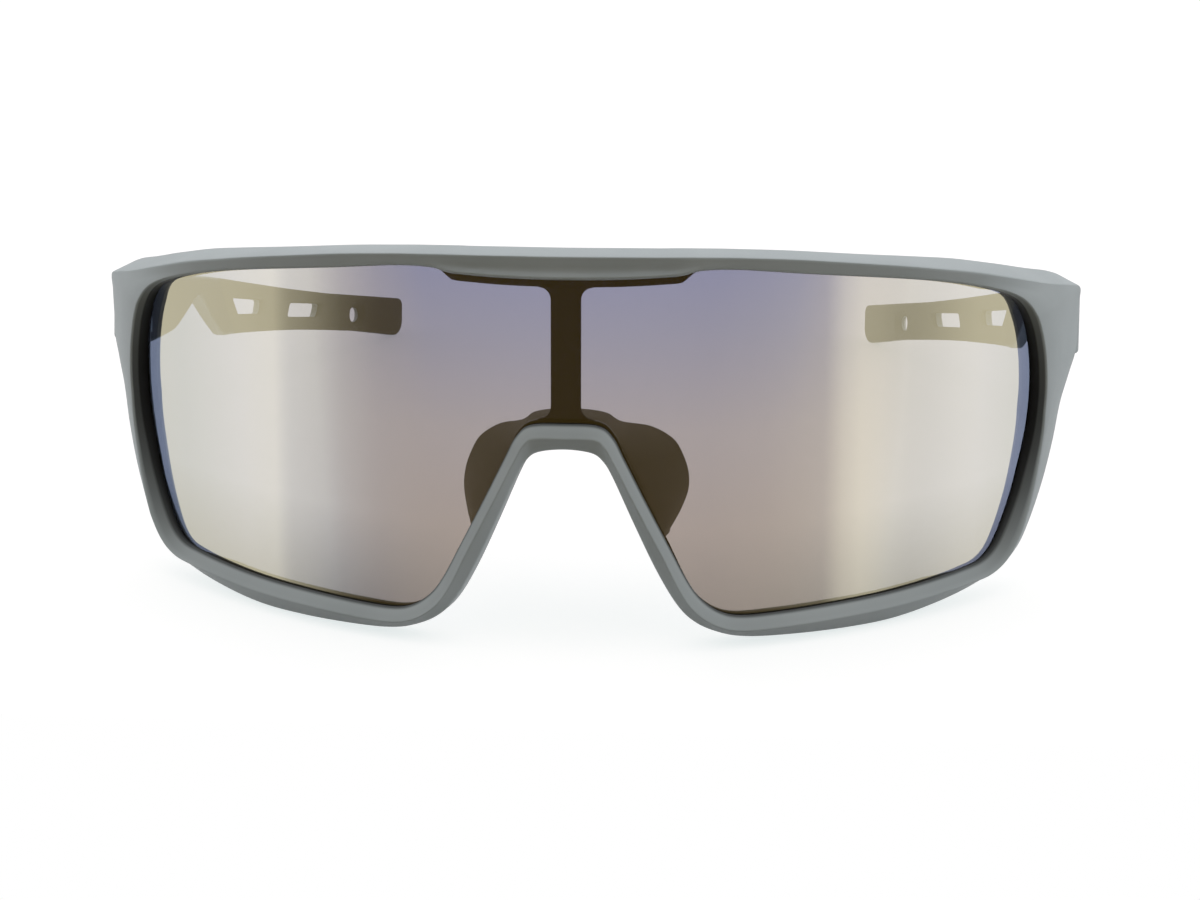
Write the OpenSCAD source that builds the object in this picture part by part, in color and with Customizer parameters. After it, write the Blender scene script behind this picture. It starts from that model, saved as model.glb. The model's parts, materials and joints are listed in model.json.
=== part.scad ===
// Wraparound shield sunglasses, standing on their rims and temple tips.
// +Z is up, -Y is the front, +X is the wearer's left. Millimetres.
// Everything is drawn first in the wearing frame: the lens is an upright
// cylinder whose front touches y = 0, and z = 0 is level with the rims' lowest
// edge. stand() then leans it all back onto the table.

/* [Front] */
// Radius of the lens's front face
lens_radius = 88; // [84:1:96]
// Arc from the middle of the front to its outer corner, along the lens
half_arc = 87; // [84:0.5:90]
// Height of the front, from the rims to the brow
front_h = 54; // [50:1:58]
// Depth of the rim behind the lens's front face
rim_back = 3.4; // [3.2:0.1:4.4]
// Height of the brow's crease above the lens
brow_h = 2.5; // [1.8:0.1:3.2]
// Height of the ridge along the outer sides above the lens
ridge_h = 2.7; // [2:0.1:3.4]
// Height of the crease along the lower rims and the nose above the lens
crease_h = 2; // [1.4:0.1:2.6]
// Height of the rim's foot where it meets the lens
foot_h = 0.6; // [0.4:0.05:0.9]
// Height of the steep inner wall beside the lens at the outer sides
side_wall_h = 1.35; // [1:0.05:1.8]

/* [Lens] */
// Thickness of the lens
lens_t = 2; // [1.6:0.1:2.2]
// How far the lens reaches into the rim's groove
lens_bite = 1.1; // [0.8:0.05:1.2]
// Clearance between each face of the lens and its groove
lens_fit = 0.06; // [0.03:0.01:0.1]
// Space between the lens's edge and the floor of its groove
edge_room = 0.25; // [0.2:0.05:0.3]

/* [Centre strut] */
// Width of the strut behind the lens
strut_w = 4.2; // [3:0.1:6]
// Distance of the strut's front from the lens's back
strut_gap = 0.15; // [0.1:0.05:0.25]
// Radius where the strut meets the brow and the bridge
strut_fillet = 1.8; // [1:0.1:2.4]

/* [Nose pad] */
// Thickness of the soft pad
pad_t = 1.7; // [1.4:0.1:2]
// How far the wings reach back from the rim
pad_reach = 16; // [12:0.5:18]
// Gap between the pad's front and the rim that carries it
pad_seat = 0.1; // [0.05:0.05:0.2]

/* [Temples] */
// Length of a temple from its hinge axis to its tip
arm_len = 104.5; // [98:0.5:115]
// Height of a temple at its front
arm_h = 10; // [9:0.25:11]
// Thickness of a temple at its front
arm_t = 3.5; // [3.4:0.1:4.2]
// Thickness of a temple over the ear, with its grip
ear_t = 2; // [1.8:0.1:2.6]
// Downward slope of a temple, seen from the side
arm_slope = 8.7; // [6:0.1:11]
// Inward bend behind the straight front stretch
bend_angle = 26; // [18:1:30]
// Outward bend towards the tip
flare_angle = 7; // [4:1:12]
// Thickness of the soft grip on the inner face
grip_t = 0.8; // [0.6:0.05:1]
// Diameter of the retainer cord's hole near the tip
cord_hole_d = 2.8; // [2.4:0.1:3]

/* [Hinges] */
// Distance of the hinge axis inwards from the front's outer corner
hinge_in = 2.8; // [2.6:0.1:3.2]
// Distance of the hinge axis behind that corner
hinge_back = 6.6; // [6.2:0.1:7.4]
// Height of the middle of the temple at the hinge below that corner
hinge_drop = 5.3; // [4.9:0.1:5.7]
// Radius of the hinge barrels
barrel_r = 2; // [1.8:0.05:2.2]
// Height of the temple's middle barrel
mid_barrel_h = 3.4; // [2.6:0.1:3.8]
// Height of each of the front's two barrels
end_barrel_h = 2.3; // [1.8:0.1:2.4]
// Room for a washer on each side of the middle barrel
washer_gap = 0.3; // [0.2:0.05:0.4]
// Diameter of the hinge screw's shank
screw_d = 1.4; // [1.2:0.1:1.6]
// Radial clearance of the turning barrel on the screw
screw_fit = 0.05; // [0.03:0.01:0.08]

/* [Hidden] */
$fn = 48;
over = 0.5;

frame_colour = [0.5, 0.53, 0.54];
lens_colour = [0.6, 0.57, 0.62, 0.7];
pad_colour = [0.22, 0.2, 0.14];
grip_colour = [0.3, 0.28, 0.2];
steel_colour = [0.7, 0.7, 0.72];
brass_colour = [0.76, 0.64, 0.35];
washer_colour = [0.9, 0.9, 0.86];

// Outline of the half rim, from the middle of the brow round the outer side
// and up to the middle of the nose arch. Each row is one place on the rim:
// arc from the middle and height of the lens's visible edge, then arc and
// height of the rim's outer edge, as shares of half_arc and front_h.
rim_shares = [
    [0.000, 0.933, 0.000, 0.996],
    [0.086, 0.935, 0.086, 0.996],
    [0.150, 0.940, 0.150, 0.995],
    [0.180, 0.944, 0.180, 0.995],
    [0.212, 0.956, 0.212, 0.994],
    [0.272, 0.956, 0.272, 0.991],
    [0.370, 0.942, 0.370, 0.981],
    [0.506, 0.922, 0.514, 0.957],
    [0.598, 0.905, 0.600, 0.939],
    [0.667, 0.887, 0.684, 0.919],
    [0.730, 0.865, 0.780, 0.889],
    [0.770, 0.844, 0.872, 0.860],
    [0.797, 0.817, 0.951, 0.842],
    [0.816, 0.778, 0.998, 0.826],
    [0.832, 0.726, 1.000, 0.781],
    [0.844, 0.657, 0.998, 0.715],
    [0.849, 0.583, 0.993, 0.652],
    [0.847, 0.519, 0.965, 0.598],
    [0.840, 0.454, 0.930, 0.524],
    [0.826, 0.380, 0.905, 0.422],
    [0.807, 0.296, 0.877, 0.315],
    [0.782, 0.215, 0.845, 0.215],
    [0.759, 0.161, 0.819, 0.152],
    [0.730, 0.131, 0.782, 0.109],
    [0.690, 0.118, 0.728, 0.074],
    [0.632, 0.105, 0.655, 0.043],
    [0.540, 0.089, 0.552, 0.015],
    [0.448, 0.078, 0.454, 0.006],
    [0.345, 0.067, 0.351, 0.004],
    [0.282, 0.064, 0.291, 0.007],
    [0.247, 0.077, 0.251, 0.019],
    [0.218, 0.110, 0.210, 0.048],
    [0.195, 0.159, 0.179, 0.096],
    [0.166, 0.248, 0.145, 0.189],
    [0.130, 0.361, 0.108, 0.315],
    [0.094, 0.478, 0.076, 0.430],
    [0.076, 0.535, 0.060, 0.474],
    [0.053, 0.565, 0.041, 0.496],
    [0.000, 0.570, 0.000, 0.504]];

// Rows of that outline where the rim's section changes
at_lip = 2;
at_lip_end = 4;
at_brow = 6;
at_brow_end = 10;
at_corner = 13;
at_side = 17;
at_heel = 21;
at_bottom = 25;
at_low = 28;
at_toe = 31;
at_leg = 33;
at_arch = 36;
at_middle = len(rim_shares) - 1;
rim_steps = 2;

// Sizes of the rim's section along those stretches
brow_foot_h = 1.2;
brow_end_h = 1.7;
brow_edge_w = 0.25;
lip_edge_w = 0.5;
lip_edge_h = 1.9;
lip_hollow = 0.9;
ridge_w = 0.5;
heel_ridge_w = 2.2;
bottom_ridge_w = 1.8;
leg_ridge_w = 1.45;
arch_ridge_w = 1.8;
side_edge_h = 1.3;
low_edge_h = 0.5;
brow_lip_w = 1.25;
thin_lip_w = 0.35;
heel_lip_w = -0.5;
low_lip_w = -0.15;
leg_lip_w = 0.2;
side_lip_share = 0.1;
side_back_w = 4;
inner_place_share = 0.35;
inner_height_share = 0.48;
dip_place_share = 0.35;
brow_rise = 0.55;
brow_end_rise = 1.8;
shoulder_rise = 2.1;
corner_rise = 1.4;

// Shapes of the soft pad: each row is arc and height where it leaves the rim,
// as shares of half_arc and front_h, then its reach, flare and drop as shares
// of pad_reach.
pad_shares = [
    [0.150, 0.262, 0.30, 0.04, 0.02],
    [0.143, 0.290, 0.62, 0.16, 0.01],
    [0.134, 0.322, 0.86, 0.26, 0.00],
    [0.122, 0.362, 0.97, 0.32, 0.00],
    [0.108, 0.410, 1.00, 0.34, 0.00],
    [0.094, 0.455, 0.98, 0.32, 0.00],
    [0.081, 0.495, 0.84, 0.20, 0.00],
    [0.068, 0.525, 0.50, 0.04, 0.00],
    [0.050, 0.549, 0.40, 0.03, 0.00],
    [0.028, 0.560, 0.34, 0.00, 0.00],
    [0.000, 0.563, 0.32, 0.00, 0.00]];
pad_steps = 2;
pad_round_share = 0.5;

// Side view of a temple: distance behind the hinge as a share of arm_len and
// height as a share of arm_h, along the top and then back along the bottom.
arm_top_shares = [
    [0.000, 0.43], [0.300, 0.43], [0.400, 0.43], [0.480, 0.39],
    [0.560, 0.33], [0.650, 0.24], [0.760, 0.16], [0.960, 0.08]];
arm_bottom_shares = [
    [0.850, -0.57], [0.750, -0.54], [0.655, -0.53], [0.570, -0.56], [0.500, -0.59],
    [0.472, -0.615], [0.460, -0.60], [0.452, -0.57], [0.394, -0.22], [0.345, 0.05],
    [0.330, 0.08], [0.310, 0.05], [0.250, -0.22], [0.200, -0.44], [0.175, -0.50],
    [0.065, -0.66], [0.040, -0.66], [0.000, -0.57]];
tip_low_share = -0.66;
tip_round = 3;
tip_top_round = 1.5;
tip_steps = 5;
arm_straight_share = 0.389;
bend_share = 0.215;
ear_share = 0.153;
flare_share = 0.287;
bend_steps = 7;
thin_from_share = 0.25;
thin_to_share = 0.45;

// Grip and holes of the ear piece, in the same shares
grip_front_shares = [[0.433, 0.5], [0.509, -0.7]];
slot_shares = [
    [[0.498, 0.06], [0.589, 0.02], [0.585, -0.23], [0.517, -0.24]],
    [[0.658, -0.03], [0.740, -0.04], [0.733, -0.29], [0.651, -0.29]]];
cord_hole_shares = [0.842, -0.25];
cord_land = 0.4;
cord_dish_slope = 1.4;
moulded_gap = 0.02;

// Hinge
barrel_drop = 0.4;
lug_gap = 0.2;
butt_gap = 0.05;
turn_room = 0.25;
web_reach_share = 0.25;
lug_depth = 7.5;
lug_w = 5.6;
lug_root_w = 8;
lug_slant = 0.6;
screw_head_d = 2.6;
screw_head_h = 0.9;
slot_w = 0.4;
slot_depth = 0.45;
nut_wall = 0.55;
nut_fit = 0.02;
nut_lip = 0.3;
washer_rim = 0.15;
washer_side_fit = 0.02;

// Points on the front: arc from the middle, height, and distance outwards
// from the lens's front face
function on_front(u, z, n) = let (a = u / lens_radius * 180 / PI)
    [(lens_radius + n) * sin(a), lens_radius - (lens_radius + n) * cos(a), z];
function mix(a, b, t) = a + (b - a) * t;
function unit(v) = v / norm(v);
function sized(row, sizes) = [for (i = [0:len(row) - 1]) row[i] * sizes[i]];

// Smooth curve through four neighbouring rows, at t from the second
function curve(a, b, c, d, t) =
    (2 * b + (c - a) * t + (2 * a - 5 * b + 4 * c - d) * t * t
        + (3 * b - a - 3 * c + d) * t * t * t) / 2;
function loop_curve(rows, steps) = let (n = len(rows))
    [for (i = [0:n - 1]) for (k = [0:steps - 1])
        curve(rows[(i + n - 1) % n], rows[i], rows[(i + 1) % n], rows[(i + 2) % n], k / steps)];

// The whole rim as one loop of rows, with its mirrored half
rim_sizes = [half_arc, front_h, half_arc, front_h];
half_rim = [for (row = rim_shares) sized(row, rim_sizes)];
mirrored = [-1, 1, -1, 1];
whole_rim = concat(half_rim, [for (i = [at_middle - 1:-1:1]) sized(half_rim[i], mirrored)]);
rim_rows = loop_curve(whole_rim, rim_steps);
rim_count = len(rim_rows);
function place(k) = min(k, rim_count - k) / rim_steps;
function lens_edge(k) = [rim_rows[k][0], rim_rows[k][1]];
function outer_edge(k) = [rim_rows[k][2], rim_rows[k][3]];
function outward(k) = let (d = lens_edge((k + 1) % rim_count) - lens_edge((k + rim_count - 1) % rim_count))
    unit([-d[1], d[0]]);

// Section sizes at a place s on the rim
function wall_h(s) = lookup(s, [[at_brow_end - 1, foot_h], [at_corner, side_wall_h],
    [at_side + 1, side_wall_h], [at_bottom, foot_h]]);
function ridge_out(s) = lookup(s, [[at_lip_end - 1, lip_edge_w], [at_brow, brow_edge_w],
    [at_brow_end, brow_edge_w], [at_corner, ridge_w], [at_side, ridge_w], [at_heel, heel_ridge_w],
    [at_bottom, bottom_ridge_w], [at_toe, bottom_ridge_w], [at_leg, leg_ridge_w],
    [at_arch - 1, leg_ridge_w], [at_middle, arch_ridge_w]]);
function ridge_up(s) = lookup(s, [[at_lip_end - 1, lip_edge_h], [at_brow, brow_foot_h],
    [at_brow_end - 1, brow_foot_h], [at_corner, ridge_h], [at_heel, ridge_h], [at_bottom, crease_h]]);
function outer_up(s) = lookup(s, [[at_brow, brow_h], [at_brow_end, brow_end_h], [at_corner, 0],
    [at_side - 1, 0], [at_side + 2, side_edge_h], [at_heel, side_edge_h], [at_bottom, low_edge_h]]);
function hollow(s) = lookup(s, [[0, lip_hollow], [at_lip, lip_hollow], [at_lip_end, 0]]);
side_lip = -(lens_bite + edge_room) * (1 - side_lip_share);
function lip_in(s) = lookup(s, [[at_lip_end - 1, brow_lip_w], [at_lip_end, thin_lip_w],
    [at_brow_end, thin_lip_w], [at_corner, side_lip], [at_heel, side_lip],
    [at_bottom, heel_lip_w], [at_low, low_lip_w], [at_toe, low_lip_w], [at_leg, leg_lip_w]]);
function back_in(s) = lookup(s, [[at_brow_end, lip_in(s)], [at_corner, -side_back_w],
    [at_heel - 1, -side_back_w], [at_bottom, lip_in(s)]]);
function top_rise(s) = lookup(s, [[0, brow_rise], [at_brow, brow_rise], [at_brow_end, brow_end_rise],
    [at_brow_end + 1, shoulder_rise], [at_corner - 1, brow_end_rise], [at_corner, corner_rise],
    [at_corner + 1, 0]]);

// One closed section of the rim, from the lens's edge over the outer face and
// behind the lens to the floor of the groove
function rim_section(k) = let (
        s = place(k),
        edge = lens_edge(k),
        out = outward(k),
        outer = outer_edge(k),
        ridge = edge + out * ridge_out(s),
        facet = mix(edge, ridge, inner_place_share),
        dip = mix(ridge, outer, dip_place_share),
        dip_n = mix(ridge_up(s), outer_up(s), dip_place_share) - hollow(s),
        lip = edge - out * lip_in(s),
        back = edge - out * back_in(s),
        floor = edge + out * (lens_bite + edge_room))
    [on_front(edge[0], edge[1], lens_fit),
        on_front(edge[0], edge[1], wall_h(s)),
        on_front(facet[0], facet[1], mix(wall_h(s), ridge_up(s), inner_height_share)),
        on_front(ridge[0], ridge[1], ridge_up(s)),
        on_front(dip[0], dip[1], dip_n),
        on_front(outer[0], outer[1], outer_up(s)),
        on_front(outer[0], outer[1] + top_rise(s), -rim_back),
        on_front(back[0], back[1], -rim_back),
        on_front(lip[0], lip[1], -lens_t - lens_fit),
        on_front(floor[0], floor[1], -lens_t - lens_fit),
        on_front(floor[0], floor[1], lens_fit)];
rim_sections = [for (k = [0:rim_count - 1]) rim_section(k)];

// Side view of the temple as points, with the rounded tip
function arc_points(centre, r, from, to, steps) =
    [for (i = [0:steps]) let (a = mix(from, to, i / steps)) centre + r * [cos(a), sin(a)]];
arm_sizes = [arm_len, arm_h];
tip_low = [arm_len - tip_round, tip_low_share * arm_h + tip_round];
tip_high = [arm_len - tip_top_round, arm_top_shares[len(arm_top_shares) - 1][1] * arm_h - tip_top_round];
arm_outline = concat(
    [[-lug_gap - barrel_r + butt_gap, arm_top_shares[0][1] * arm_h]],
    [for (row = arm_top_shares) sized(row, arm_sizes)],
    arc_points(tip_high, tip_top_round, 90, 0, tip_steps),
    arc_points(tip_low, tip_round, 0, -90, tip_steps),
    [for (row = arm_bottom_shares) sized(row, arm_sizes)],
    [[-lug_gap - barrel_r + butt_gap, arm_bottom_shares[len(arm_bottom_shares) - 1][1] * arm_h]]);

// The hinge's place from the front's outer corner
corner = on_front(half_arc, front_h * rim_shares[at_corner][3], 0);
hinge = corner + [-hinge_in, hinge_back, -hinge_drop];

// Where a point of the temple's side view lies in the wearing frame
function arm_place(p) = [hinge[1] + p[0] * cos(arm_slope) + p[1] * sin(arm_slope),
    hinge[2] - p[0] * sin(arm_slope) + p[1] * cos(arm_slope)];

// The lean that brings the rims and the temple tips to one level
rim_points = [for (section = rim_sections) for (p = section) [p[1], p[2]]];
side_points = concat(rim_points, [for (p = arm_outline) arm_place(p)]);
tip_points = [for (p = arm_outline) if (p[0] > arm_len / 2) arm_place(p)];
function height(p, lean) = p[1] * cos(lean) - p[0] * sin(lean);
function depth(p, lean) = p[0] * cos(lean) + p[1] * sin(lean);
function lowest(points, lean) = min([for (p = points) height(p, lean)]);
function level(low, high, steps) = let (lean = (low + high) / 2)
    steps == 0 ? lean
    : lowest(tip_points, lean) > lowest(rim_points, lean) ? level(lean, high, steps - 1)
    : level(low, lean, steps - 1);
max_lean = 20;
lean_steps = 24;
lean = level(0, max_lean, lean_steps);
depths = [for (p = side_points) depth(p, lean)];
stand_y = -(min(depths) + max(depths)) / 2;
stand_z = -lowest(rim_points, lean);
module stand() {
    translate([0, stand_y, stand_z]) rotate([-lean, 0, 0]) children();
}

// Rings of points joined into a solid: closed on itself, or with flat ends
module joined(rings, closed) {
    n = len(rings);
    m = len(rings[0]);
    spans = closed ? n : n - 1;
    sides = [for (i = [0:spans - 1]) for (j = [0:m - 1])
        let (a = i * m, b = ((i + 1) % n) * m, k = (j + 1) % m)
        each [[a + j, a + k, b + k], [a + j, b + k, b + j]]];
    ends = closed ? [] : [for (j = [1:m - 2])
        each [[0, j + 1, j], [(n - 1) * m, (n - 1) * m + j, (n - 1) * m + j + 1]]];
    polyhedron([for (ring = rings) each ring], concat(sides, ends), convexity = 10);
}

// Places one side's hinge parts: X outwards, Y back along the temple and Z
// along the hinge axis, all from the middle of the hinge
module at_hinge() {
    translate(hinge) rotate([-arm_slope, 0, 0]) children();
}
module on_side(side) {
    stand() mirror([side < 0 ? 1 : 0, 0, 0]) at_hinge() children();
}

barrel_low = -barrel_drop - mid_barrel_h / 2;
barrel_high = -barrel_drop + mid_barrel_h / 2;
low_end = barrel_low - washer_gap - end_barrel_h;
high_end = barrel_high + washer_gap + end_barrel_h;
lug_face = -barrel_r - lug_gap;
lug_top = arm_top_shares[0][1] * arm_h;
lug_bottom = arm_bottom_shares[len(arm_bottom_shares) - 1][1] * arm_h;
bore_r = screw_d / 2 + screw_fit;
nut_r = screw_d / 2 + nut_wall;
nut_bottom = low_end + nut_lip;

module bore(r, from, to) {
    translate([0, 0, from]) cylinder(r = r, h = to - from);
}

module end_barrel(from) {
    translate([0, 0, from]) {
        cylinder(r = barrel_r, h = end_barrel_h);
        translate([-barrel_r, lug_face - over, 0])
            cube([barrel_r * (1 + web_reach_share), over - lug_face, end_barrel_h]);
    }
}

// Solid end of the front that carries the hinge
module lug() {
    translate([0, 0, lug_bottom]) linear_extrude(lug_top - lug_bottom)
        polygon([[arm_t, lug_face], [arm_t - lug_w, lug_face],
            [arm_t - lug_root_w, lug_face - lug_depth],
            [arm_t - lug_root_w / 2, lug_face - lug_depth],
            [arm_t - lug_slant, lug_face - lug_depth / 2]]);
    end_barrel(low_end);
    end_barrel(high_end - end_barrel_h);
}

module hinge_holes() {
    bore(bore_r, barrel_low - washer_gap - over, high_end + over);
    bore(nut_r + nut_fit, nut_bottom, barrel_low);
    bore(screw_head_d / 2 + screw_fit, high_end - screw_head_h, high_end + over);
    bore(bore_r, low_end - over, nut_bottom + over);
}

// Upright behind the lens, with flared ends, cut from the curve of the lens
strut_top = front_h * rim_shares[0][1];
strut_foot = front_h * rim_shares[at_middle][1];
strut_front_r = lens_radius - lens_t - lens_fit - strut_gap;
strut_back_r = lens_radius - rim_back + strut_gap;
strut_root_share = 0.5;
strut_low = front_h * mix(rim_shares[at_middle][1], rim_shares[at_middle][3], strut_root_share);
module strut_outline() {
    reach = strut_w / 2 + strut_fillet;
    top = strut_top - brow_lip_w;
    foot = strut_foot + leg_lip_w;
    difference() {
        translate([-reach, strut_low]) square([2 * reach, strut_top - strut_low]);
        for (side = [-1, 1]) {
            for (z = [top - strut_fillet, foot + strut_fillet])
                translate([side * reach, z]) circle(r = strut_fillet);
            translate([side * reach - strut_fillet, foot + strut_fillet])
                square([2 * strut_fillet, top - foot - 2 * strut_fillet]);
        }
    }
}
strut_fn = 180;
module strut() {
    intersection() {
        translate([0, lens_radius, 0]) rotate([90, 0, 0])
            linear_extrude(lens_radius) strut_outline();
        translate([0, lens_radius, 0]) difference() {
            cylinder(r = strut_front_r, h = front_h, $fn = strut_fn);
            translate([0, 0, -over])
                cylinder(r = strut_back_r, h = front_h + 2 * over, $fn = strut_fn);
        }
    }
}

module front_frame() {
    color(frame_colour) stand() difference() {
        union() {
            joined(rim_sections, true);
            strut();
            for (side = [0, 1]) mirror([side, 0, 0]) at_hinge() lug();
        }
        for (side = [0, 1]) mirror([side, 0, 0]) at_hinge() hinge_holes();
    }
}

// The lens, as upright strips between its upper and lower edges
function edge_at(k) = lens_edge(k) + outward(k) * lens_bite;
half_count = at_middle * rim_steps;
widest = [for (k = [0:half_count]) edge_at(k)[0]];
lens_half = max(widest);
lens_turn = search(lens_half, widest)[0];
upper_edge = [for (k = [0:lens_turn]) edge_at(k)];
lower_edge = [for (k = [half_count:-1:lens_turn]) edge_at(k)];
lens_strips = 80;
lens_end_share = 0.9995;
function lens_ring(t) = let (u = lens_half * lens_end_share * sin(90 * t))
    [on_front(u, lookup(abs(u), upper_edge), 0),
        on_front(u, lookup(abs(u), lower_edge), 0),
        on_front(u, lookup(abs(u), lower_edge), -lens_t),
        on_front(u, lookup(abs(u), upper_edge), -lens_t)];
module shield_lens() {
    color(lens_colour) stand()
        joined([for (i = [lens_strips:-1:-lens_strips]) lens_ring(i / lens_strips)], false);
}

// The soft pad: a blade that leaves the rim behind the nose arch and widens
// into a wing on each side
pad_sizes = [half_arc, front_h, pad_reach, pad_reach, pad_reach];
half_pad = [for (row = pad_shares) sized(row, pad_sizes)];
pad_flip = [-1, 1, 1, -1, 1];
pad_middle = len(half_pad) - 1;
whole_pad = concat(half_pad, [for (i = [pad_middle - 1:-1:0]) sized(half_pad[i], pad_flip)]);
pad_last = len(whole_pad) - 1;
pad_rows = concat([for (i = [0:pad_last - 1]) for (k = [0:pad_steps - 1])
    curve(whole_pad[max(i - 1, 0)], whole_pad[i], whole_pad[i + 1],
        whole_pad[min(i + 2, pad_last)], k / pad_steps)], [whole_pad[pad_last]]);
pad_count = len(pad_rows);
function pad_front(k) = on_front(pad_rows[k][0], pad_rows[k][1], -rim_back - pad_seat);
function pad_rear(k) = pad_front(k) + [pad_rows[k][3], pad_rows[k][2], -pad_rows[k][4]];
pad_seat_r = lens_radius - rim_back - pad_seat;
function seated(p) = [p[0], lens_radius - sqrt(pow(pad_seat_r, 2) - pow(p[0], 2)), p[2]];
function pad_ring(k) = let (
        along = pad_front(min(k + 1, pad_count - 1)) - pad_front(max(k - 1, 0)),
        back = unit(pad_rear(k) - pad_front(k)),
        across = unit(cross(back, along)) * pad_t / 2,
        front = pad_front(k),
        rear = pad_rear(k),
        round = across * pad_round_share,
        end = back * pad_t / 2)
    [seated(front + across), rear + across, rear + round + end, rear - round + end,
        rear - across, seated(front - across)];
module nose_pad() {
    color(pad_colour) stand() joined([for (k = [pad_count - 1:-1:0]) pad_ring(k)], false);
}

// Plan of a temple: a walk along its inner face, as lengths and turns
bend_step = bend_share * arm_len / bend_steps;
flare_step = flare_share * arm_len / bend_steps;
bend_moves = [for (i = [1:bend_steps]) [bend_step, bend_angle / bend_steps]];
flare_moves = [for (i = [1:bend_steps]) [flare_step, -flare_angle / bend_steps]];
moves = concat([[0, 0], [arm_straight_share * arm_len, 0]], bend_moves,
    [[ear_share * arm_len, 0]], flare_moves, [[arm_len, 0], [0, 0]]);
walk = [for (i = 0, p = [0, lug_face + butt_gap], a = 0; i < len(moves);
    a = a + moves[i][1], p = p + moves[i][0] * [-sin(a), cos(a)], i = i + 1) [p, a]];
function thickness(y) = lookup(y, [[thin_from_share * arm_len, arm_t], [thin_to_share * arm_len, ear_t]]);
module ribbon(from_depth, to_depth) {
    polygon(concat(
        [for (w = walk) w[0] + from_depth * [cos(w[1]), sin(w[1])]],
        [for (i = [len(walk) - 1:-1:0]) let (w = walk[i], t = to_depth > 0 ? to_depth : thickness(w[0][1]))
            w[0] + t * [cos(w[1]), sin(w[1])]]));
}
module side_view(points) {
    translate([-arm_len, 0, 0]) rotate([90, 0, 90]) linear_extrude(arm_len + 2 * arm_t) polygon(points);
}
module blade(from_depth, to_depth) {
    intersection() {
        side_view(arm_outline);
        translate([0, 0, -arm_h]) linear_extrude(2 * arm_h) ribbon(from_depth, to_depth);
    }
}

// Everything behind the slanting front edge of the grip
module grip_zone() {
    front = [for (row = grip_front_shares) sized(row, arm_sizes)];
    side_view([front[0], [2 * arm_len, front[0][1]], [2 * arm_len, front[1][1]], front[1]]);
}

// Slots of the ear piece and the hole for a retainer cord
cord_hole = sized(cord_hole_shares, arm_sizes);
function walk_at(y, i) = walk[i + 1][0][1] >= y ? i : walk_at(y, i + 1);
cord_step = walk_at(cord_hole[0], 0);
cord_from = walk[cord_step];
cord_to = walk[cord_step + 1];
cord_turn = atan2(cord_from[0][0] - cord_to[0][0], cord_to[0][1] - cord_from[0][1]);
cord_x = cord_from[0][0] - (cord_hole[0] - cord_from[0][1]) * tan(cord_turn);
module ear_holes() {
    for (points = slot_shares) side_view([for (p = points) sized(p, arm_sizes)]);
    translate([cord_x, cord_hole[0], cord_hole[1]]) rotate([0, 90, cord_turn])
        translate([0, 0, ear_t / 2]) {
            cylinder(d = cord_hole_d, h = 2 * ear_t, center = true);
            for (face = [0, 1]) mirror([0, 0, face]) translate([0, 0, cord_land / 2])
                cylinder(r1 = cord_hole_d / 2, r2 = cord_hole_d / 2 + ear_t * cord_dish_slope, h = ear_t);
        }
}

module temple() {
    difference() {
        union() {
            difference() {
                blade(0, 0);
                bore(barrel_r + turn_room, -arm_h, arm_h);
                translate([-arm_t, lug_face - over, -arm_h])
                    cube([arm_t, over - lug_face + barrel_r + turn_room, 2 * arm_h]);
            }
            bore(barrel_r, barrel_low, barrel_high);
            translate([-barrel_r / 2, 0, barrel_low])
                cube([arm_t - over + barrel_r / 2, 2 * barrel_r, mid_barrel_h]);
        }
        intersection() {
            translate([0, 0, -arm_h]) linear_extrude(2 * arm_h) ribbon(-over, grip_t);
            grip_zone();
        }
        ear_holes();
        bore(bore_r, barrel_low - over, barrel_high + over);
    }
}
module temple_grip() {
    difference() {
        intersection() {
            blade(0, grip_t - moulded_gap);
            translate([0, moulded_gap, 0]) grip_zone();
        }
        ear_holes();
    }
}

module hinge_screw() {
    difference() {
        union() {
            bore(screw_d / 2, nut_bottom, high_end - screw_head_h + screw_fit);
            bore(screw_head_d / 2, high_end - screw_head_h + screw_fit, high_end);
        }
        translate([-screw_head_d, -slot_w / 2, high_end - slot_depth])
            cube([2 * screw_head_d, slot_w, slot_depth + over]);
    }
}
module hinge_nut() {
    difference() {
        bore(nut_r, nut_bottom, barrel_low - washer_gap);
        bore(screw_d / 2 + nut_fit, low_end, barrel_low);
    }
}
module hinge_washers() {
    for (z = [barrel_low - washer_gap, barrel_high]) difference() {
        bore(barrel_r - washer_rim, z + washer_side_fit, z + washer_gap - washer_side_fit);
        bore(bore_r, z - over, z + washer_gap + over);
    }
}

module temple_left() color(frame_colour) on_side(1) temple();
module temple_right() color(frame_colour) on_side(-1) temple();
module temple_grip_left() color(grip_colour) on_side(1) temple_grip();
module temple_grip_right() color(grip_colour) on_side(-1) temple_grip();
module hinge_screw_left() color(steel_colour) on_side(1) hinge_screw();
module hinge_screw_right() color(steel_colour) on_side(-1) hinge_screw();
module hinge_nut_left() color(brass_colour) on_side(1) hinge_nut();
module hinge_nut_right() color(brass_colour) on_side(-1) hinge_nut();
module hinge_washers_left() color(washer_colour) on_side(1) hinge_washers();
module hinge_washers_right() color(washer_colour) on_side(-1) hinge_washers();

front_frame();
shield_lens();
nose_pad();
temple_left();
temple_right();
temple_grip_left();
temple_grip_right();
hinge_screw_left();
hinge_screw_right();
hinge_nut_left();
hinge_nut_right();
hinge_washers_left();
hinge_washers_right();
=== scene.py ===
"""Looks of a pair of wraparound shield sunglasses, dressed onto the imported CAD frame.

Every piece is built in millimetres in the wearing frame, where the lens is an
upright cylinder whose front touches y = 0 and z = 0 is level with the rims'
lowest edge. settle() then leans it back onto the table and turns it into metres.
"""
import json

import bmesh
import bpy
import numpy as np
from mathutils import Matrix


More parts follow.
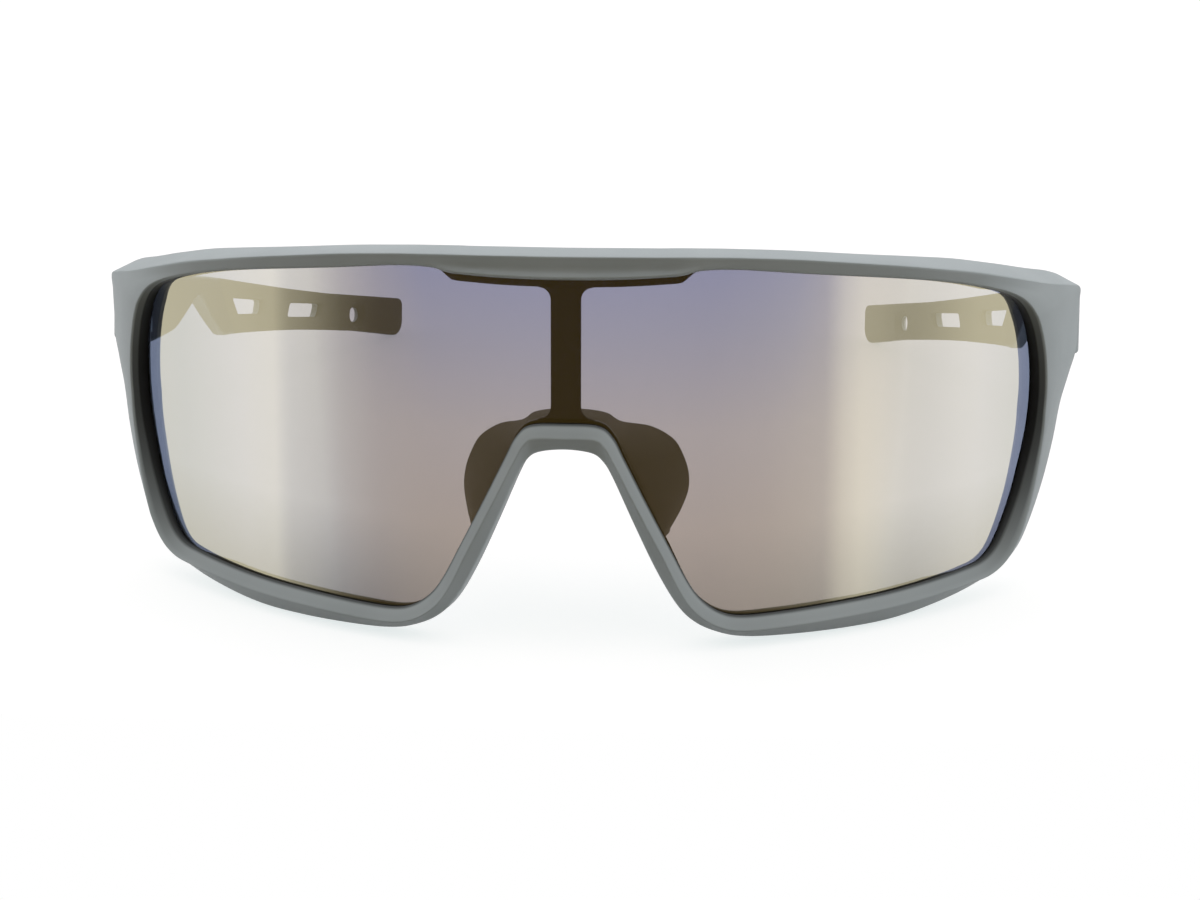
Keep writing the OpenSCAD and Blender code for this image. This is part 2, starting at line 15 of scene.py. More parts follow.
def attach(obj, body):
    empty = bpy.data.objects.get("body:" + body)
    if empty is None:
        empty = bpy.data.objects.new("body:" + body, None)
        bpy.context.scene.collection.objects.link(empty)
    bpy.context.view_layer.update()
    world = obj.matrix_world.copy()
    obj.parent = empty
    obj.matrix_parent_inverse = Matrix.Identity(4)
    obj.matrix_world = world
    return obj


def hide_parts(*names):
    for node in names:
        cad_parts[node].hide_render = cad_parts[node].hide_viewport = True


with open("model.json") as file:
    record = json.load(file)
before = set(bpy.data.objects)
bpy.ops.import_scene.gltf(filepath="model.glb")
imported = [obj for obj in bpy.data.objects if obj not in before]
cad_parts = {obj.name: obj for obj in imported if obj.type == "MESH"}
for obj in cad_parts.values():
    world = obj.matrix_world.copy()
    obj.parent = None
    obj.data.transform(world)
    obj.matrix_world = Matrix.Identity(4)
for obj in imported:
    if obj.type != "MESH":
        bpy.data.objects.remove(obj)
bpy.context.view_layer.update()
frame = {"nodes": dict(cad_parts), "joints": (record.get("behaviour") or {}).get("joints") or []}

MM = 0.001
DEGREE = np.pi / 180

# Sizes of the front, in millimetres
LENS_RADIUS = 88
HALF_ARC = 87
FRONT_H = 54
RIM_BACK = 3.4
BROW_H = 2.5
RIDGE_H = 2.7
CREASE_H = 2
FOOT_H = 0.6
SIDE_WALL_H = 1.35
LENS_T = 2
LENS_BITE = 1.1
LENS_FIT = 0.06
EDGE_ROOM = 0.25

# The half rim from the middle of the brow round the outer side and up to the
# middle of the nose arch: arc and height of the lens's visible edge, then arc
# and height of the rim's outer edge, as shares of HALF_ARC and FRONT_H
RIM_SHARES = [
    [0.000, 0.933, 0.000, 0.996],
    [0.086, 0.935, 0.086, 0.996],
    [0.150, 0.940, 0.150, 0.995],
    [0.180, 0.944, 0.180, 0.995],
    [0.212, 0.956, 0.212, 0.994],
    [0.272, 0.956, 0.272, 0.991],
    [0.370, 0.942, 0.370, 0.981],
    [0.506, 0.922, 0.514, 0.957],
    [0.598, 0.905, 0.600, 0.939],
    [0.667, 0.887, 0.684, 0.919],
    [0.730, 0.865, 0.780, 0.889],
    [0.770, 0.844, 0.872, 0.860],
    [0.797, 0.817, 0.951, 0.842],
    [0.816, 0.778, 0.998, 0.826],
    [0.832, 0.726, 1.000, 0.781],
    [0.844, 0.657, 0.998, 0.715],
    [0.849, 0.583, 0.993, 0.652],
    [0.847, 0.519, 0.965, 0.598],
    [0.840, 0.454, 0.930, 0.524],
    [0.826, 0.380, 0.905, 0.422],
    [0.807, 0.296, 0.877, 0.315],
    [0.782, 0.215, 0.845, 0.215],
    [0.759, 0.161, 0.819, 0.152],
    [0.730, 0.131, 0.782, 0.109],
    [0.690, 0.118, 0.728, 0.074],
    [0.632, 0.105, 0.655, 0.043],
    [0.540, 0.089, 0.552, 0.015],
    [0.448, 0.078, 0.454, 0.006],
    [0.345, 0.067, 0.351, 0.004],
    [0.282, 0.064, 0.291, 0.007],
    [0.247, 0.077, 0.251, 0.019],
    [0.218, 0.110, 0.210, 0.048],
    [0.195, 0.159, 0.179, 0.096],
    [0.166, 0.248, 0.145, 0.189],
    [0.130, 0.361, 0.108, 0.315],
    [0.094, 0.478, 0.076, 0.430],
    [0.076, 0.535, 0.060, 0.474],
    [0.053, 0.565, 0.041, 0.496],
    [0.000, 0.570, 0.000, 0.504]]

# Rows of that outline where the rim's section changes
AT_LIP = 2
AT_LIP_END = 4
AT_BROW = 6
AT_BROW_END = 10
AT_CORNER = 13
AT_SIDE = 17
AT_HEEL = 21
AT_BOTTOM = 25
AT_LOW = 28
AT_TOE = 31
AT_LEG = 33
AT_ARCH = 36
AT_MIDDLE = len(RIM_SHARES) - 1

# Rings of the rim from one row to the next
RIM_STEPS = 8

# Sizes of the rim's section along those stretches, in millimetres, and shares that
# place its inner lip, inner facet and dip
BROW_FOOT_H = 1.2
BROW_END_H = 1.7
BROW_EDGE_W = 0.25
LIP_EDGE_W = 0.5
LIP_EDGE_H = 1.9
LIP_HOLLOW = 0.9
RIDGE_W = 0.5
HEEL_RIDGE_W = 2.2
BOTTOM_RIDGE_W = 1.8
LEG_RIDGE_W = 1.45
ARCH_RIDGE_W = 1.8
SIDE_EDGE_H = 1.3
LOW_EDGE_H = 0.5
BROW_LIP_W = 1.25
THIN_LIP_W = 0.15
HEEL_LIP_W = -0.5
LOW_LIP_W = -0.15
LEG_LIP_W = 0.2
SIDE_LIP_SHARE = 0.1
SIDE_BACK_W = 4
INNER_PLACE_SHARE = 0.35
INNER_HEIGHT_SHARE = 0.48
DIP_PLACE_SHARE = 0.35
BROW_RISE = 0.55
BROW_END_RISE = 1.8
SHOULDER_RISE = 2.1
CORNER_RISE = 1.4

# How far each corner of the section is rounded, in the order of rim_rings()
SECTION_ROUNDS = [0, 0.1, 0.6, 0.22, 0.9, 0.4, 0.5, 0.3, 0.12, 0, 0]

# How black each corner of the section is, in the same order, away from the
# sides and at them: the moulding is black round the lens and behind it, and at the
# sides the dark that climbs the inner facet towards the ridge is painted shade
SECTION_BLACK = [1, 0.75, 0.05, 0, 0, 0, 0, 0.6, 1, 1, 1]
SIDE_BLACK_AND_SHADE = [1, 1, 0.92, 0.12, 0, 0, 0, 0.6, 1, 1, 1]
BLACK_AND_SHADE_LAYER = "inner_black_and_shade"

# How much of the sides' blackness and painted shade there is at the corners, sides and heels
CORNER_BLACK_AND_SHADE_SHARE = 0.5
SIDE_BLACK_AND_SHADE_SHARE = 0.85
HEEL_BLACK_AND_SHADE_SHARE = 0.2

# The temples' inner faces are made nearly black, fading to grey over this depth
INNER_FACE_BLACK = 0.9
INNER_FACE_DEPTH = 0.4

# The strut behind the lens
STRUT_W = 4.2
STRUT_GAP = 0.15
STRUT_FILLET = 1.8
STRUT_ACROSS_SHARES = [-1, -0.6, 0, 0.6, 1]
STRUT_ROUNDS = [0.3, 0, 0, 0, 0.3] * 2
STRUT_ROOT_SHARE = 0.5
STRUT_FLARE_STEPS = 10
STRUT_STEPS = 12

# The soft pad: arc and height where it leaves the rim, as shares of HALF_ARC
# and FRONT_H, then its reach, flare and drop as shares of PAD_REACH
PAD_T = 1.7
PAD_REACH = 16
PAD_SEAT = 0.1
PAD_SHARES = [
    [0.150, 0.262, 0.30, 0.04, 0.02],
    [0.143, 0.290, 0.62, 0.16, 0.01],
    [0.134, 0.322, 0.86, 0.26, 0.00],
    [0.122, 0.362, 0.97, 0.32, 0.00],
    [0.108, 0.410, 1.00, 0.34, 0.00],
    [0.094, 0.455, 0.98, 0.32, 0.00],
    [0.081, 0.495, 0.84, 0.20, 0.00],
    [0.068, 0.525, 0.50, 0.04, 0.00],
    [0.050, 0.549, 0.40, 0.03, 0.00],
    [0.028, 0.560, 0.34, 0.00, 0.00],
    [0.000, 0.563, 0.32, 0.00, 0.00]]
PAD_STEPS = 8
PAD_ROUNDS = [0.3, 0.8, 0.8, 0.3]
PAD_ROUND_STEPS = 5
PAD_END_STEPS = 4
PAD_END_TURN_SHARE = 0.9
PAD_END_NARROW_SHARE = 0.5
PAD_END_REACH_SHARE = 0.3

# The temples: side view as shares of ARM_LEN behind the hinge and of ARM_H
ARM_LEN = 104.5
ARM_H = 10
ARM_T = 3.5
EAR_T = 2
ARM_SLOPE = 8.7
BEND_ANGLE = 26
FLARE_ANGLE = 7
GRIP_T = 0.8
CORD_HOLE_D = 2.8
ARM_TOP_SHARES = [
    [0.000, 0.43], [0.300, 0.43], [0.400, 0.43], [0.480, 0.39],
    [0.560, 0.33], [0.650, 0.24], [0.760, 0.16], [0.960, 0.08]]
ARM_BOTTOM_SHARES = [
    [0.850, -0.57], [0.750, -0.54], [0.655, -0.53], [0.570, -0.56], [0.500, -0.59],
    [0.472, -0.615], [0.460, -0.60], [0.452, -0.57], [0.394, -0.22], [0.345, 0.05],
    [0.330, 0.08], [0.310, 0.05], [0.250, -0.22], [0.200, -0.44], [0.175, -0.50],
    [0.065, -0.66], [0.040, -0.66], [0.000, -0.57]]
TIP_LOW_SHARE = -0.66
TIP_ROUND = 3
TIP_TOP_ROUND = 1.5
ARM_STRAIGHT_SHARE = 0.389
BEND_SHARE = 0.215
EAR_SHARE = 0.153
FLARE_SHARE = 0.287
BEND_STEPS = 7
THIN_FROM_SHARE = 0.25
THIN_TO_SHARE = 0.45
GRIP_FRONT_SHARES = [[0.433, 0.5], [0.509, -0.7]]
SLOT_SHARES = [
    [[0.498, 0.06], [0.589, 0.02], [0.585, -0.23], [0.517, -0.24]],
    [[0.658, -0.03], [0.740, -0.04], [0.733, -0.29], [0.651, -0.29]]]
CORD_HOLE_SHARES = [0.842, -0.25]
CORD_LAND = 0.4
CORD_DISH_SLOPE = 1.4
MOULDED_GAP = 0.02
ARM_EDGE_ROUND = 0.7
ARM_FRONT_ROUND = 0.4
ARM_TOP_ROUND = 6
ARM_BOTTOM_ROUND = 4
SLOT_ROUND = 0.7
OUTLINE_STEPS = 5
TIP_STEPS = 8
CUT_STEP = 1.5
WELD_GAP = 0.0005

# The temple is drawn as a plate that is ARM_T thick all along, so depths over the
# ear, where it ends up EAR_T thick, are this much greater in the plate
PLATE_SHARE = ARM_T / EAR_T

# The hinges
HINGE_IN = 2.8
HINGE_BACK = 6.6
HINGE_DROP = 5.3
BARREL_R = 2
MID_BARREL_H = 3.4
END_BARREL_H = 2.3
WASHER_GAP = 0.3
SCREW_D = 1.4
SCREW_FIT = 0.05
BARREL_DROP = 0.4
LUG_GAP = 0.2
BUTT_GAP = 0.05
TURN_ROOM = 0.25
WEB_REACH_SHARE = 0.25
LUG_DEPTH = 7.5
LUG_W = 5.6
LUG_ROOT_W = 8
LUG_SLANT = 0.6
LUG_ROUND = 0.5
SCREW_HEAD_D = 2.6
SCREW_HEAD_H = 0.9
NUT_WALL = 0.55
NUT_FIT = 0.02
NUT_LIP = 0.3
CUT_SPARE = 0.5
CIRCLE_SIDES = 48

# How corners are rounded: steps along each, the most that one takes of a side, and
# the steps and the fullness of a rounded solid edge
ROUND_STEPS = 4
ROUND_REACH_SHARE = 0.45
EDGE_STEPS = 3
EDGE_PROFILE = 0.5

# The widest angle in degrees between faces that shade as one surface
LENS_SMOOTH = 40
FRONT_SMOOTH = 34
PAD_SMOOTH = 50
ARM_SMOOTH = 35

# The camera in the wearing frame, in millimetres and degrees, and its lens
CAMERA_PLACE = (26.58, -290.23, 92.87)
CAMERA_YAW = -4.289
CAMERA_PITCH = 12.712
CAMERA_ROLL = 0.198
CAMERA_FOCAL = 66.1
CAMERA_SENSOR = 36


def leant(angle):
    """The turn about X, in radians, that leans an upright object backwards."""
    return np.array([
        [1, 0, 0],
        [0, np.cos(angle), np.sin(angle)],
        [0, -np.sin(angle), np.cos(angle)]])


CORNER_TURN = HALF_ARC / LENS_RADIUS
HINGE = np.array([
    LENS_RADIUS * np.sin(CORNER_TURN) - HINGE_IN,
    LENS_RADIUS - LENS_RADIUS * np.cos(CORNER_TURN) + HINGE_BACK,
    FRONT_H * RIM_SHARES[AT_CORNER][3] - HINGE_DROP])

# How the object leans on the table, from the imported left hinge
left_joint = next(joint for joint in frame["joints"] if joint["name"] == "temple_left_fold")
hinge_axis = np.array(left_joint["axis"])
hinge_place = np.array(left_joint["pos_m"]) / MM
LEAN = np.arctan2(hinge_axis[1], hinge_axis[2]) - ARM_SLOPE * DEGREE
SETTLED_TURN = leant(LEAN)
SETTLED_MOVE = hinge_place - SETTLED_TURN @ HINGE
SLOPED_TURN = leant(ARM_SLOPE * DEGREE)


def mix(a, b, share):
    """The value a share of the way from a to b."""
    return a + (b - a) * share


def unit(v):
    """Vectors of length one along v."""
    return v / np.linalg.norm(v, axis=-1, keepdims=True)


def on_front(points):
    """Points of the wearing frame, from arcs, heights and distances out from the lens's face."""
    turn = points[..., 0] / LENS_RADIUS
    reach = LENS_RADIUS + points[..., 2]
    return np.stack([reach * np.sin(turn), LENS_RADIUS - reach * np.cos(turn), points[..., 1]], axis=-1)


def curve(a, b, c, d, t):
    """Smooth curve through four neighbouring rows, at t from the second."""
    return (2 * b + (c - a) * t + (2 * a - 5 * b + 4 * c - d) * t * t
            + (3 * b - a - 3 * c + d) * t * t * t) / 2


def softened(points, rounds, steps=ROUND_STEPS, closed=True):
    """Corners of an outline replaced by short curves; points may hold many outlines at once."""
    out = []
    count = len(points)
    for i, (corner, radius) in enumerate(zip(points, rounds)):
        at_end = not closed and i in (0, count - 1)
        if radius == 0 or at_end:
            out.append(corner)
            continue
        before = points[i - 1] - corner
        after = points[(i + 1) % count] - corner
        before_len = np.linalg.norm(before, axis=-1, keepdims=True)
        after_len = np.linalg.norm(after, axis=-1, keepdims=True)
        start = corner + before * np.minimum(radius / before_len, ROUND_REACH_SHARE)
        end = corner + after * np.minimum(radius / after_len, ROUND_REACH_SHARE)
        for t in np.linspace(0, 1, steps + 1):
            out.append(start * (1 - t) ** 2 + corner * 2 * t * (1 - t) + end * t * t)
    return out


def spread_corners(values, rounds):
    """A value at each point of a softened outline, from its value at each corner."""
    counts = [ROUND_STEPS + 1 if radius else 1 for radius in rounds]
    return np.repeat(values, counts)


def new_object(name, data):
    """An object of that mesh, outline or camera in the scene."""
    made = bpy.data.objects.new(name, data)
    bpy.context.scene.collection.objects.link(made)
    return made


def edit(mesh, change):
    """Changes a mesh with a function that works on its editable form."""
    work = bmesh.new()
    work.from_mesh(mesh)
    change(work)
    work.to_mesh(mesh)
    work.free()


def evaluated_mesh(holder):
    """A new mesh of an object as its modifiers or its outline make it."""
    bpy.context.view_layer.update()
    view = bpy.context.evaluated_depsgraph_get()
    return bpy.data.meshes.new_from_object(holder.evaluated_get(view))


def face_outwards(work):
    """Turns the faces of a closed mesh outwards."""
    if work.calc_volume(signed=True) < 0:
        bmesh.ops.reverse_faces(work, faces=work.faces)


def swept(name, rings, closed=False):
    """A solid through rings of points, closed on itself or with flat ends."""
    rings = np.asarray(rings)
    count, size = rings.shape[:2]
    faces = []
    for i in range(count if closed else count - 1):
        a, b = i * size, (i + 1) % count * size
        faces += [(a + j, a + (j + 1) % size, b + (j + 1) % size, b + j) for j in range(size)]
    if not closed:
        faces.append(tuple(range(size))[::-1])
        faces.append(tuple((count - 1) * size + j for j in range(size)))
    mesh = bpy.data.meshes.new(name)
    mesh.from_pydata(rings.reshape(-1, 3).tolist(), [], faces)
    edit(mesh, face_outwards)
    return new_object(name, mesh)


def prism(name, outline, low, high, rounding=0):
    """An outline drawn in X and Y and raised from low to high, with its edges rounded."""
    rings = [[(x, y, z) for x, y in outline] for z in (low, high)]
    made = swept(name, rings)
    if rounding:
        edit(made.data, lambda work: bmesh.ops.bevel(
            work, geom=work.edges[:], offset=rounding, segments=EDGE_STEPS, profile=EDGE_PROFILE,
            affect="EDGES", clamp_overlap=True))
    return made


def circle(radius):
    """Points of a circle in X and Y."""
    turns = np.linspace(0, 2 * np.pi, CIRCLE_SIDES, endpoint=False)
    return [(radius * np.cos(turn), radius * np.sin(turn)) for turn in turns]


def rectangle(x_low, x_high, y_low, y_high):
    """Corners of a rectangle in X and Y."""
    return [(x_low, y_low), (x_high, y_low), (x_high, y_high), (x_low, y_high)]


def combined(target, tool, operation):
    """The target with the tool added, cut away or intersected, and the tool used up."""
    modifier = target.modifiers.new("combine", "BOOLEAN")
    modifier.operation = operation
    modifier.object = tool
    modifier.solver = "EXACT"
    mesh = evaluated_mesh(target)
    target.modifiers.clear()
    target.data = mesh
    bpy.data.objects.remove(tool)
    return target


def moved(piece, change):
    """The piece with every point changed by a function of an array of points."""
    mesh = piece.data
    points = np.empty(len(mesh.vertices) * 3)
    mesh.vertices.foreach_get("co", points)
    points = change(points.reshape(-1, 3))
    mesh.vertices.foreach_set("co", points.ravel())
    mesh.update()
    return piece


def settle(piece, smooth_angle, side=1):
    """The piece leant onto the table, in metres, mirrored for the wearer's right, and smooth."""
    moved(piece, lambda points: (points @ SETTLED_TURN.T + SETTLED_MOVE) * [side * MM, MM, MM])

    def smooth(work):
        if side < 0:
            bmesh.ops.reverse_faces(work, faces=work.faces)
        for face in work.faces:
            face.smooth = True

    edit(piece.data, smooth)
    piece.data.set_sharp_from_angle(angle=smooth_angle * DEGREE)
    return piece


def at_hinge(points):
    """Points of the left hinge's own frame, in the wearing frame."""
    return points @ SLOPED_TURN.T + HINGE


def from_hinge(points):
    """Points of the wearing frame, in the left hinge's own frame."""
    return (points - HINGE) @ SLOPED_TURN


# The rim

def smooth_loop(rows, steps):
    """Rows on a closed smooth curve through the given rows."""
    count = len(rows)
    return np.array([
        curve(rows[i - 1], rows[i], rows[(i + 1) % count], rows[(i + 2) % count], k / steps)
        for i in range(count) for k in range(steps)])


half_rim = np.array(RIM_SHARES) * [HALF_ARC, FRONT_H, HALF_ARC, FRONT_H]
whole_rim = np.vstack([half_rim, half_rim[-2:0:-1] * [-1, 1, -1, 1]])
rim_rows = smooth_loop(whole_rim, RIM_STEPS)
rim_count = len(rim_rows)
rim_place = np.minimum(np.arange(rim_count), rim_count - np.arange(rim_count)) / RIM_STEPS


def rim_value(*pairs):
    """A size at every ring of the rim, from places and sizes."""
    places, sizes = zip(*pairs)
    return np.interp(rim_place, places, sizes)


def eased_value(*pairs):
    """Such a size with its changes spread evenly over two rows."""
    values = rim_value(*pairs)
    return np.mean([np.roll(values, shift) for shift in range(-RIM_STEPS, RIM_STEPS + 1)], axis=0)


def rim_outward():
    """Direction away from the lens in its face, at every ring of the rim."""
    half_step = RIM_STEPS // 2
    edge = rim_rows[:, :2]
    along = np.roll(edge, -half_step, axis=0) - np.roll(edge, half_step, axis=0)
    return unit(np.stack([-along[:, 1], along[:, 0]], axis=-1))


def rim_rings():
    """Rounded sections of the rim, as points of the wearing frame."""
    side_lip = -(LENS_BITE + EDGE_ROOM) * (1 - SIDE_LIP_SHARE)
    wall_h = eased_value(
        (AT_BROW_END - 1, FOOT_H), (AT_CORNER, SIDE_WALL_H), (AT_SIDE + 1, SIDE_WALL_H),
        (AT_BOTTOM, FOOT_H))
    ridge_out = rim_value(
        (AT_LIP_END - 1, LIP_EDGE_W), (AT_BROW, BROW_EDGE_W), (AT_BROW_END, BROW_EDGE_W),
        (AT_CORNER, RIDGE_W), (AT_SIDE, RIDGE_W), (AT_HEEL, HEEL_RIDGE_W),
        (AT_BOTTOM, BOTTOM_RIDGE_W), (AT_TOE, BOTTOM_RIDGE_W), (AT_LEG, LEG_RIDGE_W),
        (AT_ARCH - 1, LEG_RIDGE_W), (AT_MIDDLE, ARCH_RIDGE_W))
    ridge_up = rim_value(
        (AT_LIP_END - 1, LIP_EDGE_H), (AT_BROW, BROW_FOOT_H), (AT_BROW_END - 1, BROW_FOOT_H),
        (AT_CORNER, RIDGE_H), (AT_HEEL, RIDGE_H), (AT_BOTTOM, CREASE_H))
    outer_up = eased_value(
        (AT_BROW, BROW_H), (AT_BROW_END, BROW_END_H), (AT_CORNER, 0), (AT_SIDE - 1, 0),
        (AT_SIDE + 2, SIDE_EDGE_H), (AT_HEEL, SIDE_EDGE_H), (AT_BOTTOM, LOW_EDGE_H))
    hollow = rim_value((0, LIP_HOLLOW), (AT_LIP, LIP_HOLLOW), (AT_LIP_END, 0))
    lip_in = rim_value(
        (AT_LIP_END - 1, BROW_LIP_W), (AT_LIP_END, THIN_LIP_W), (AT_BROW_END, THIN_LIP_W),
        (AT_CORNER, side_lip), (AT_HEEL, side_lip), (AT_BOTTOM, HEEL_LIP_W),
        (AT_LOW, LOW_LIP_W), (AT_TOE, LOW_LIP_W), (AT_LEG, LEG_LIP_W))
    side_back_in = rim_value(
        (AT_BROW_END, THIN_LIP_W), (AT_CORNER, -SIDE_BACK_W), (AT_HEEL - 1, -SIDE_BACK_W),
        (AT_BOTTOM, HEEL_LIP_W))
    beside_lens = (rim_place >= AT_BROW_END) & (rim_place <= AT_BOTTOM)
    back_in = np.where(beside_lens, side_back_in, lip_in)
    top_rise = eased_value(
        (0, BROW_RISE), (AT_BROW, BROW_RISE), (AT_BROW_END, BROW_END_RISE),
        (AT_BROW_END + 1, SHOULDER_RISE), (AT_CORNER - 1, BROW_END_RISE), (AT_CORNER, CORNER_RISE),
        (AT_CORNER + 1, 0))
    out = rim_outward()
    edge = rim_rows[:, :2]
    outer = rim_rows[:, 2:]
    ridge = edge + out * ridge_out[:, None]
    facet = mix(edge, ridge, INNER_PLACE_SHARE)
    dip = mix(ridge, outer, DIP_PLACE_SHARE)
    raised = outer + top_rise[:, None] * [0, 1]
    lip = edge - out * lip_in[:, None]
    back = edge - out * back_in[:, None]
    groove = edge + out * (LENS_BITE + EDGE_ROOM)
    level = np.ones(rim_count)
    corners = [
        (edge, LENS_FIT * level),
        (edge, wall_h),
        (facet, mix(wall_h, ridge_up, INNER_HEIGHT_SHARE)),
        (ridge, ridge_up),
        (dip, mix(ridge_up, outer_up, DIP_PLACE_SHARE) - hollow),
        (outer, outer_up),
        (raised, -RIM_BACK * level),
        (back, -RIM_BACK * level),
        (lip, -(LENS_T + LENS_FIT) * level),
        (groove, -(LENS_T + LENS_FIT) * level),
        (groove, LENS_FIT * level)]
    points = [np.column_stack([on_face, height]) for on_face, height in corners]
    return on_front(np.stack(softened(points, SECTION_ROUNDS), axis=1))


def strut():
    """The upright behind the lens, with flared ends."""
    top = FRONT_H * RIM_SHARES[0][1]
    foot = FRONT_H * RIM_SHARES[AT_MIDDLE][1]
    low = FRONT_H * mix(RIM_SHARES[AT_MIDDLE][1], RIM_SHARES[AT_MIDDLE][3], STRUT_ROOT_SHARE)
    flare_top = top - BROW_LIP_W - STRUT_FILLET
    flare_foot = foot + LEG_LIP_W + STRUT_FILLET
    fine = np.linspace(0, STRUT_FILLET, STRUT_FLARE_STEPS)
    straight = np.linspace(flare_foot, flare_top, STRUT_STEPS)[1:-1]
    heights = np.concatenate([[low], flare_foot - fine[::-1], straight, flare_top + fine, [top]])
    front = -LENS_T - LENS_FIT - STRUT_GAP
    rear = -RIM_BACK + STRUT_GAP
    rings = []
    for z in heights:
        past = min(max(z - flare_top, flare_foot - z, 0), STRUT_FILLET)
        half = STRUT_W / 2 + STRUT_FILLET - np.sqrt(STRUT_FILLET ** 2 - past ** 2)
        across = [share * half for share in STRUT_ACROSS_SHARES]
        corners = [(u, z, front) for u in across] + [(u, z, rear) for u in across[::-1]]
        rings.append(on_front(np.array(softened(np.array(corners), STRUT_ROUNDS))))
    return swept("strut", rings)


BARREL_LOW = -BARREL_DROP - MID_BARREL_H / 2
BARREL_HIGH = -BARREL_DROP + MID_BARREL_H / 2
LOW_END = BARREL_LOW - WASHER_GAP - END_BARREL_H
HIGH_END = BARREL_HIGH + WASHER_GAP + END_BARREL_H
LUG_FACE = -BARREL_R - LUG_GAP
LUG_TOP = ARM_TOP_SHARES[0][1] * ARM_H
LUG_BOTTOM = ARM_BOTTOM_SHARES[-1][1] * ARM_H
BORE_R = SCREW_D / 2 + SCREW_FIT
NUT_R = SCREW_D / 2 + NUT_WALL
NUT_BOTTOM = LOW_END + NUT_LIP


def lug():
    """Solid end of the front that carries the left hinge, in the hinge's frame."""
    outline = [
        (ARM_T, LUG_FACE), (ARM_T - LUG_W, LUG_FACE), (ARM_T - LUG_ROOT_W, LUG_FACE - LUG_DEPTH),
        (ARM_T - LUG_ROOT_W / 2, LUG_FACE - LUG_DEPTH), (ARM_T - LUG_SLANT, LUG_FACE - LUG_DEPTH / 2)]
    made = prism("lug", outline, LUG_BOTTOM, LUG_TOP, LUG_ROUND)
    for low in (LOW_END, HIGH_END - END_BARREL_H):
        web = rectangle(-BARREL_R, BARREL_R * WEB_REACH_SHARE, LUG_FACE - CUT_SPARE, 0)
        combined(made, prism("web", web, low, low + END_BARREL_H), "UNION")
        combined(made, prism("barrel", circle(BARREL_R), low, low + END_BARREL_H), "UNION")
    holes = [
        (BORE_R, BARREL_LOW - WASHER_GAP - CUT_SPARE, HIGH_END + CUT_SPARE),
        (NUT_R + NUT_FIT, NUT_BOTTOM, BARREL_LOW),
        (SCREW_HEAD_D / 2 + SCREW_FIT, HIGH_END - SCREW_HEAD_H, HIGH_END + CUT_SPARE),
        (BORE_R, LOW_END - CUT_SPARE, NUT_BOTTOM + CUT_SPARE)]
    for radius, low, high in holes:
        combined(made, prism("hole", circle(radius), low, high), "DIFFERENCE")
    return made


def rim_black_and_shade():
    """How black the rim is at each point of each ring, with painted shade on the inner facets beside the
    lens.
    """
    plain = spread_corners(SECTION_BLACK, SECTION_ROUNDS)
    sides = spread_corners(SIDE_BLACK_AND_SHADE, SECTION_ROUNDS)
    # This share sets how far painted shade climbs the inner facets at the sides
    share = eased_value(
        (AT_BROW_END, 0), (AT_CORNER, CORNER_BLACK_AND_SHADE_SHARE), (AT_SIDE - 1, SIDE_BLACK_AND_SHADE_SHARE),
        (AT_HEEL - 2, SIDE_BLACK_AND_SHADE_SHARE), (AT_HEEL + 1, HEEL_BLACK_AND_SHADE_SHARE), (AT_BOTTOM, 0))
    return mix(plain, sides, share[:, None])


def painted(piece, values):
    """The piece with a value of blackness at each of its points; on the rims' sides this includes painted
    shade.
    """
    layer = piece.data.attributes.new(BLACK_AND_SHADE_LAYER, "FLOAT", "POINT")
    layer.data.foreach_set("value", np.broadcast_to(values, len(piece.data.vertices)).astype(np.float32))
    return piece


def even_blackness(piece):
    """Makes every point of the strut black and of the hinge ends grey, where they meet the rim too."""
    places = np.array([vertex.co for vertex in piece.data.vertices])
    reach = np.hypot(places[:, 0], LENS_RADIUS - places[:, 1])
    below_brow = places[:, 2] < FRONT_H * RIM_SHARES[0][1] - BROW_LIP_W / 2
    beside = np.abs(places[:, 0]) < STRUT_W / 2 + STRUT_FILLET
    on_strut = beside & below_brow & (reach < LENS_RADIUS - LENS_T)
    across, back, up = from_hinge(np.column_stack([np.abs(places[:, 0]), places[:, 1:]])).T
    on_lug = (across > ARM_T - LUG_ROOT_W + CUT_SPARE) & (back > LUG_FACE - LUG_DEPTH)
    on_lug &= (up > LUG_BOTTOM - CUT_SPARE) & (up < LUG_TOP + CUT_SPARE)
    layer = piece.data.attributes[BLACK_AND_SHADE_LAYER]
    values = np.empty(len(places), np.float32)
    layer.data.foreach_get("value", values)
    values[on_strut] = 1
    values[on_lug] = 0
    layer.data.foreach_set("value", values)


def front_frame():
    """The rim, the strut and both hinge ends as one moulding."""
    # The rim carries its black moulding and painted shade on the inner facets at the sides
    made = painted(swept("front_moulding", rim_rings(), closed=True), rim_black_and_shade().ravel())
    combined(made, painted(strut(), 1), "UNION")
    for side in (1, -1):
        end = painted(moved(lug(), at_hinge), 0)
        if side < 0:
            moved(end, lambda points: points * [-1, 1, 1])
            end.data.flip_normals()
        combined(made, end, "UNION")
    even_blackness(made)
    return settle(made, FRONT_SMOOTH)


# The lens

LENS_COLUMNS = 240
LENS_ROWS = 24
LENS_END_SHARE = 0.9995


def lens_edges():
    """Half width of the lens, and its upper and lower edge as arcs and heights."""
    edge = rim_rows[:, :2] + rim_outward() * LENS_BITE
    half = edge[:AT_MIDDLE * RIM_STEPS + 1]
    turn = int(half[:, 0].argmax())
    return half[turn, 0], half[:turn + 1], half[:turn - 1:-1]


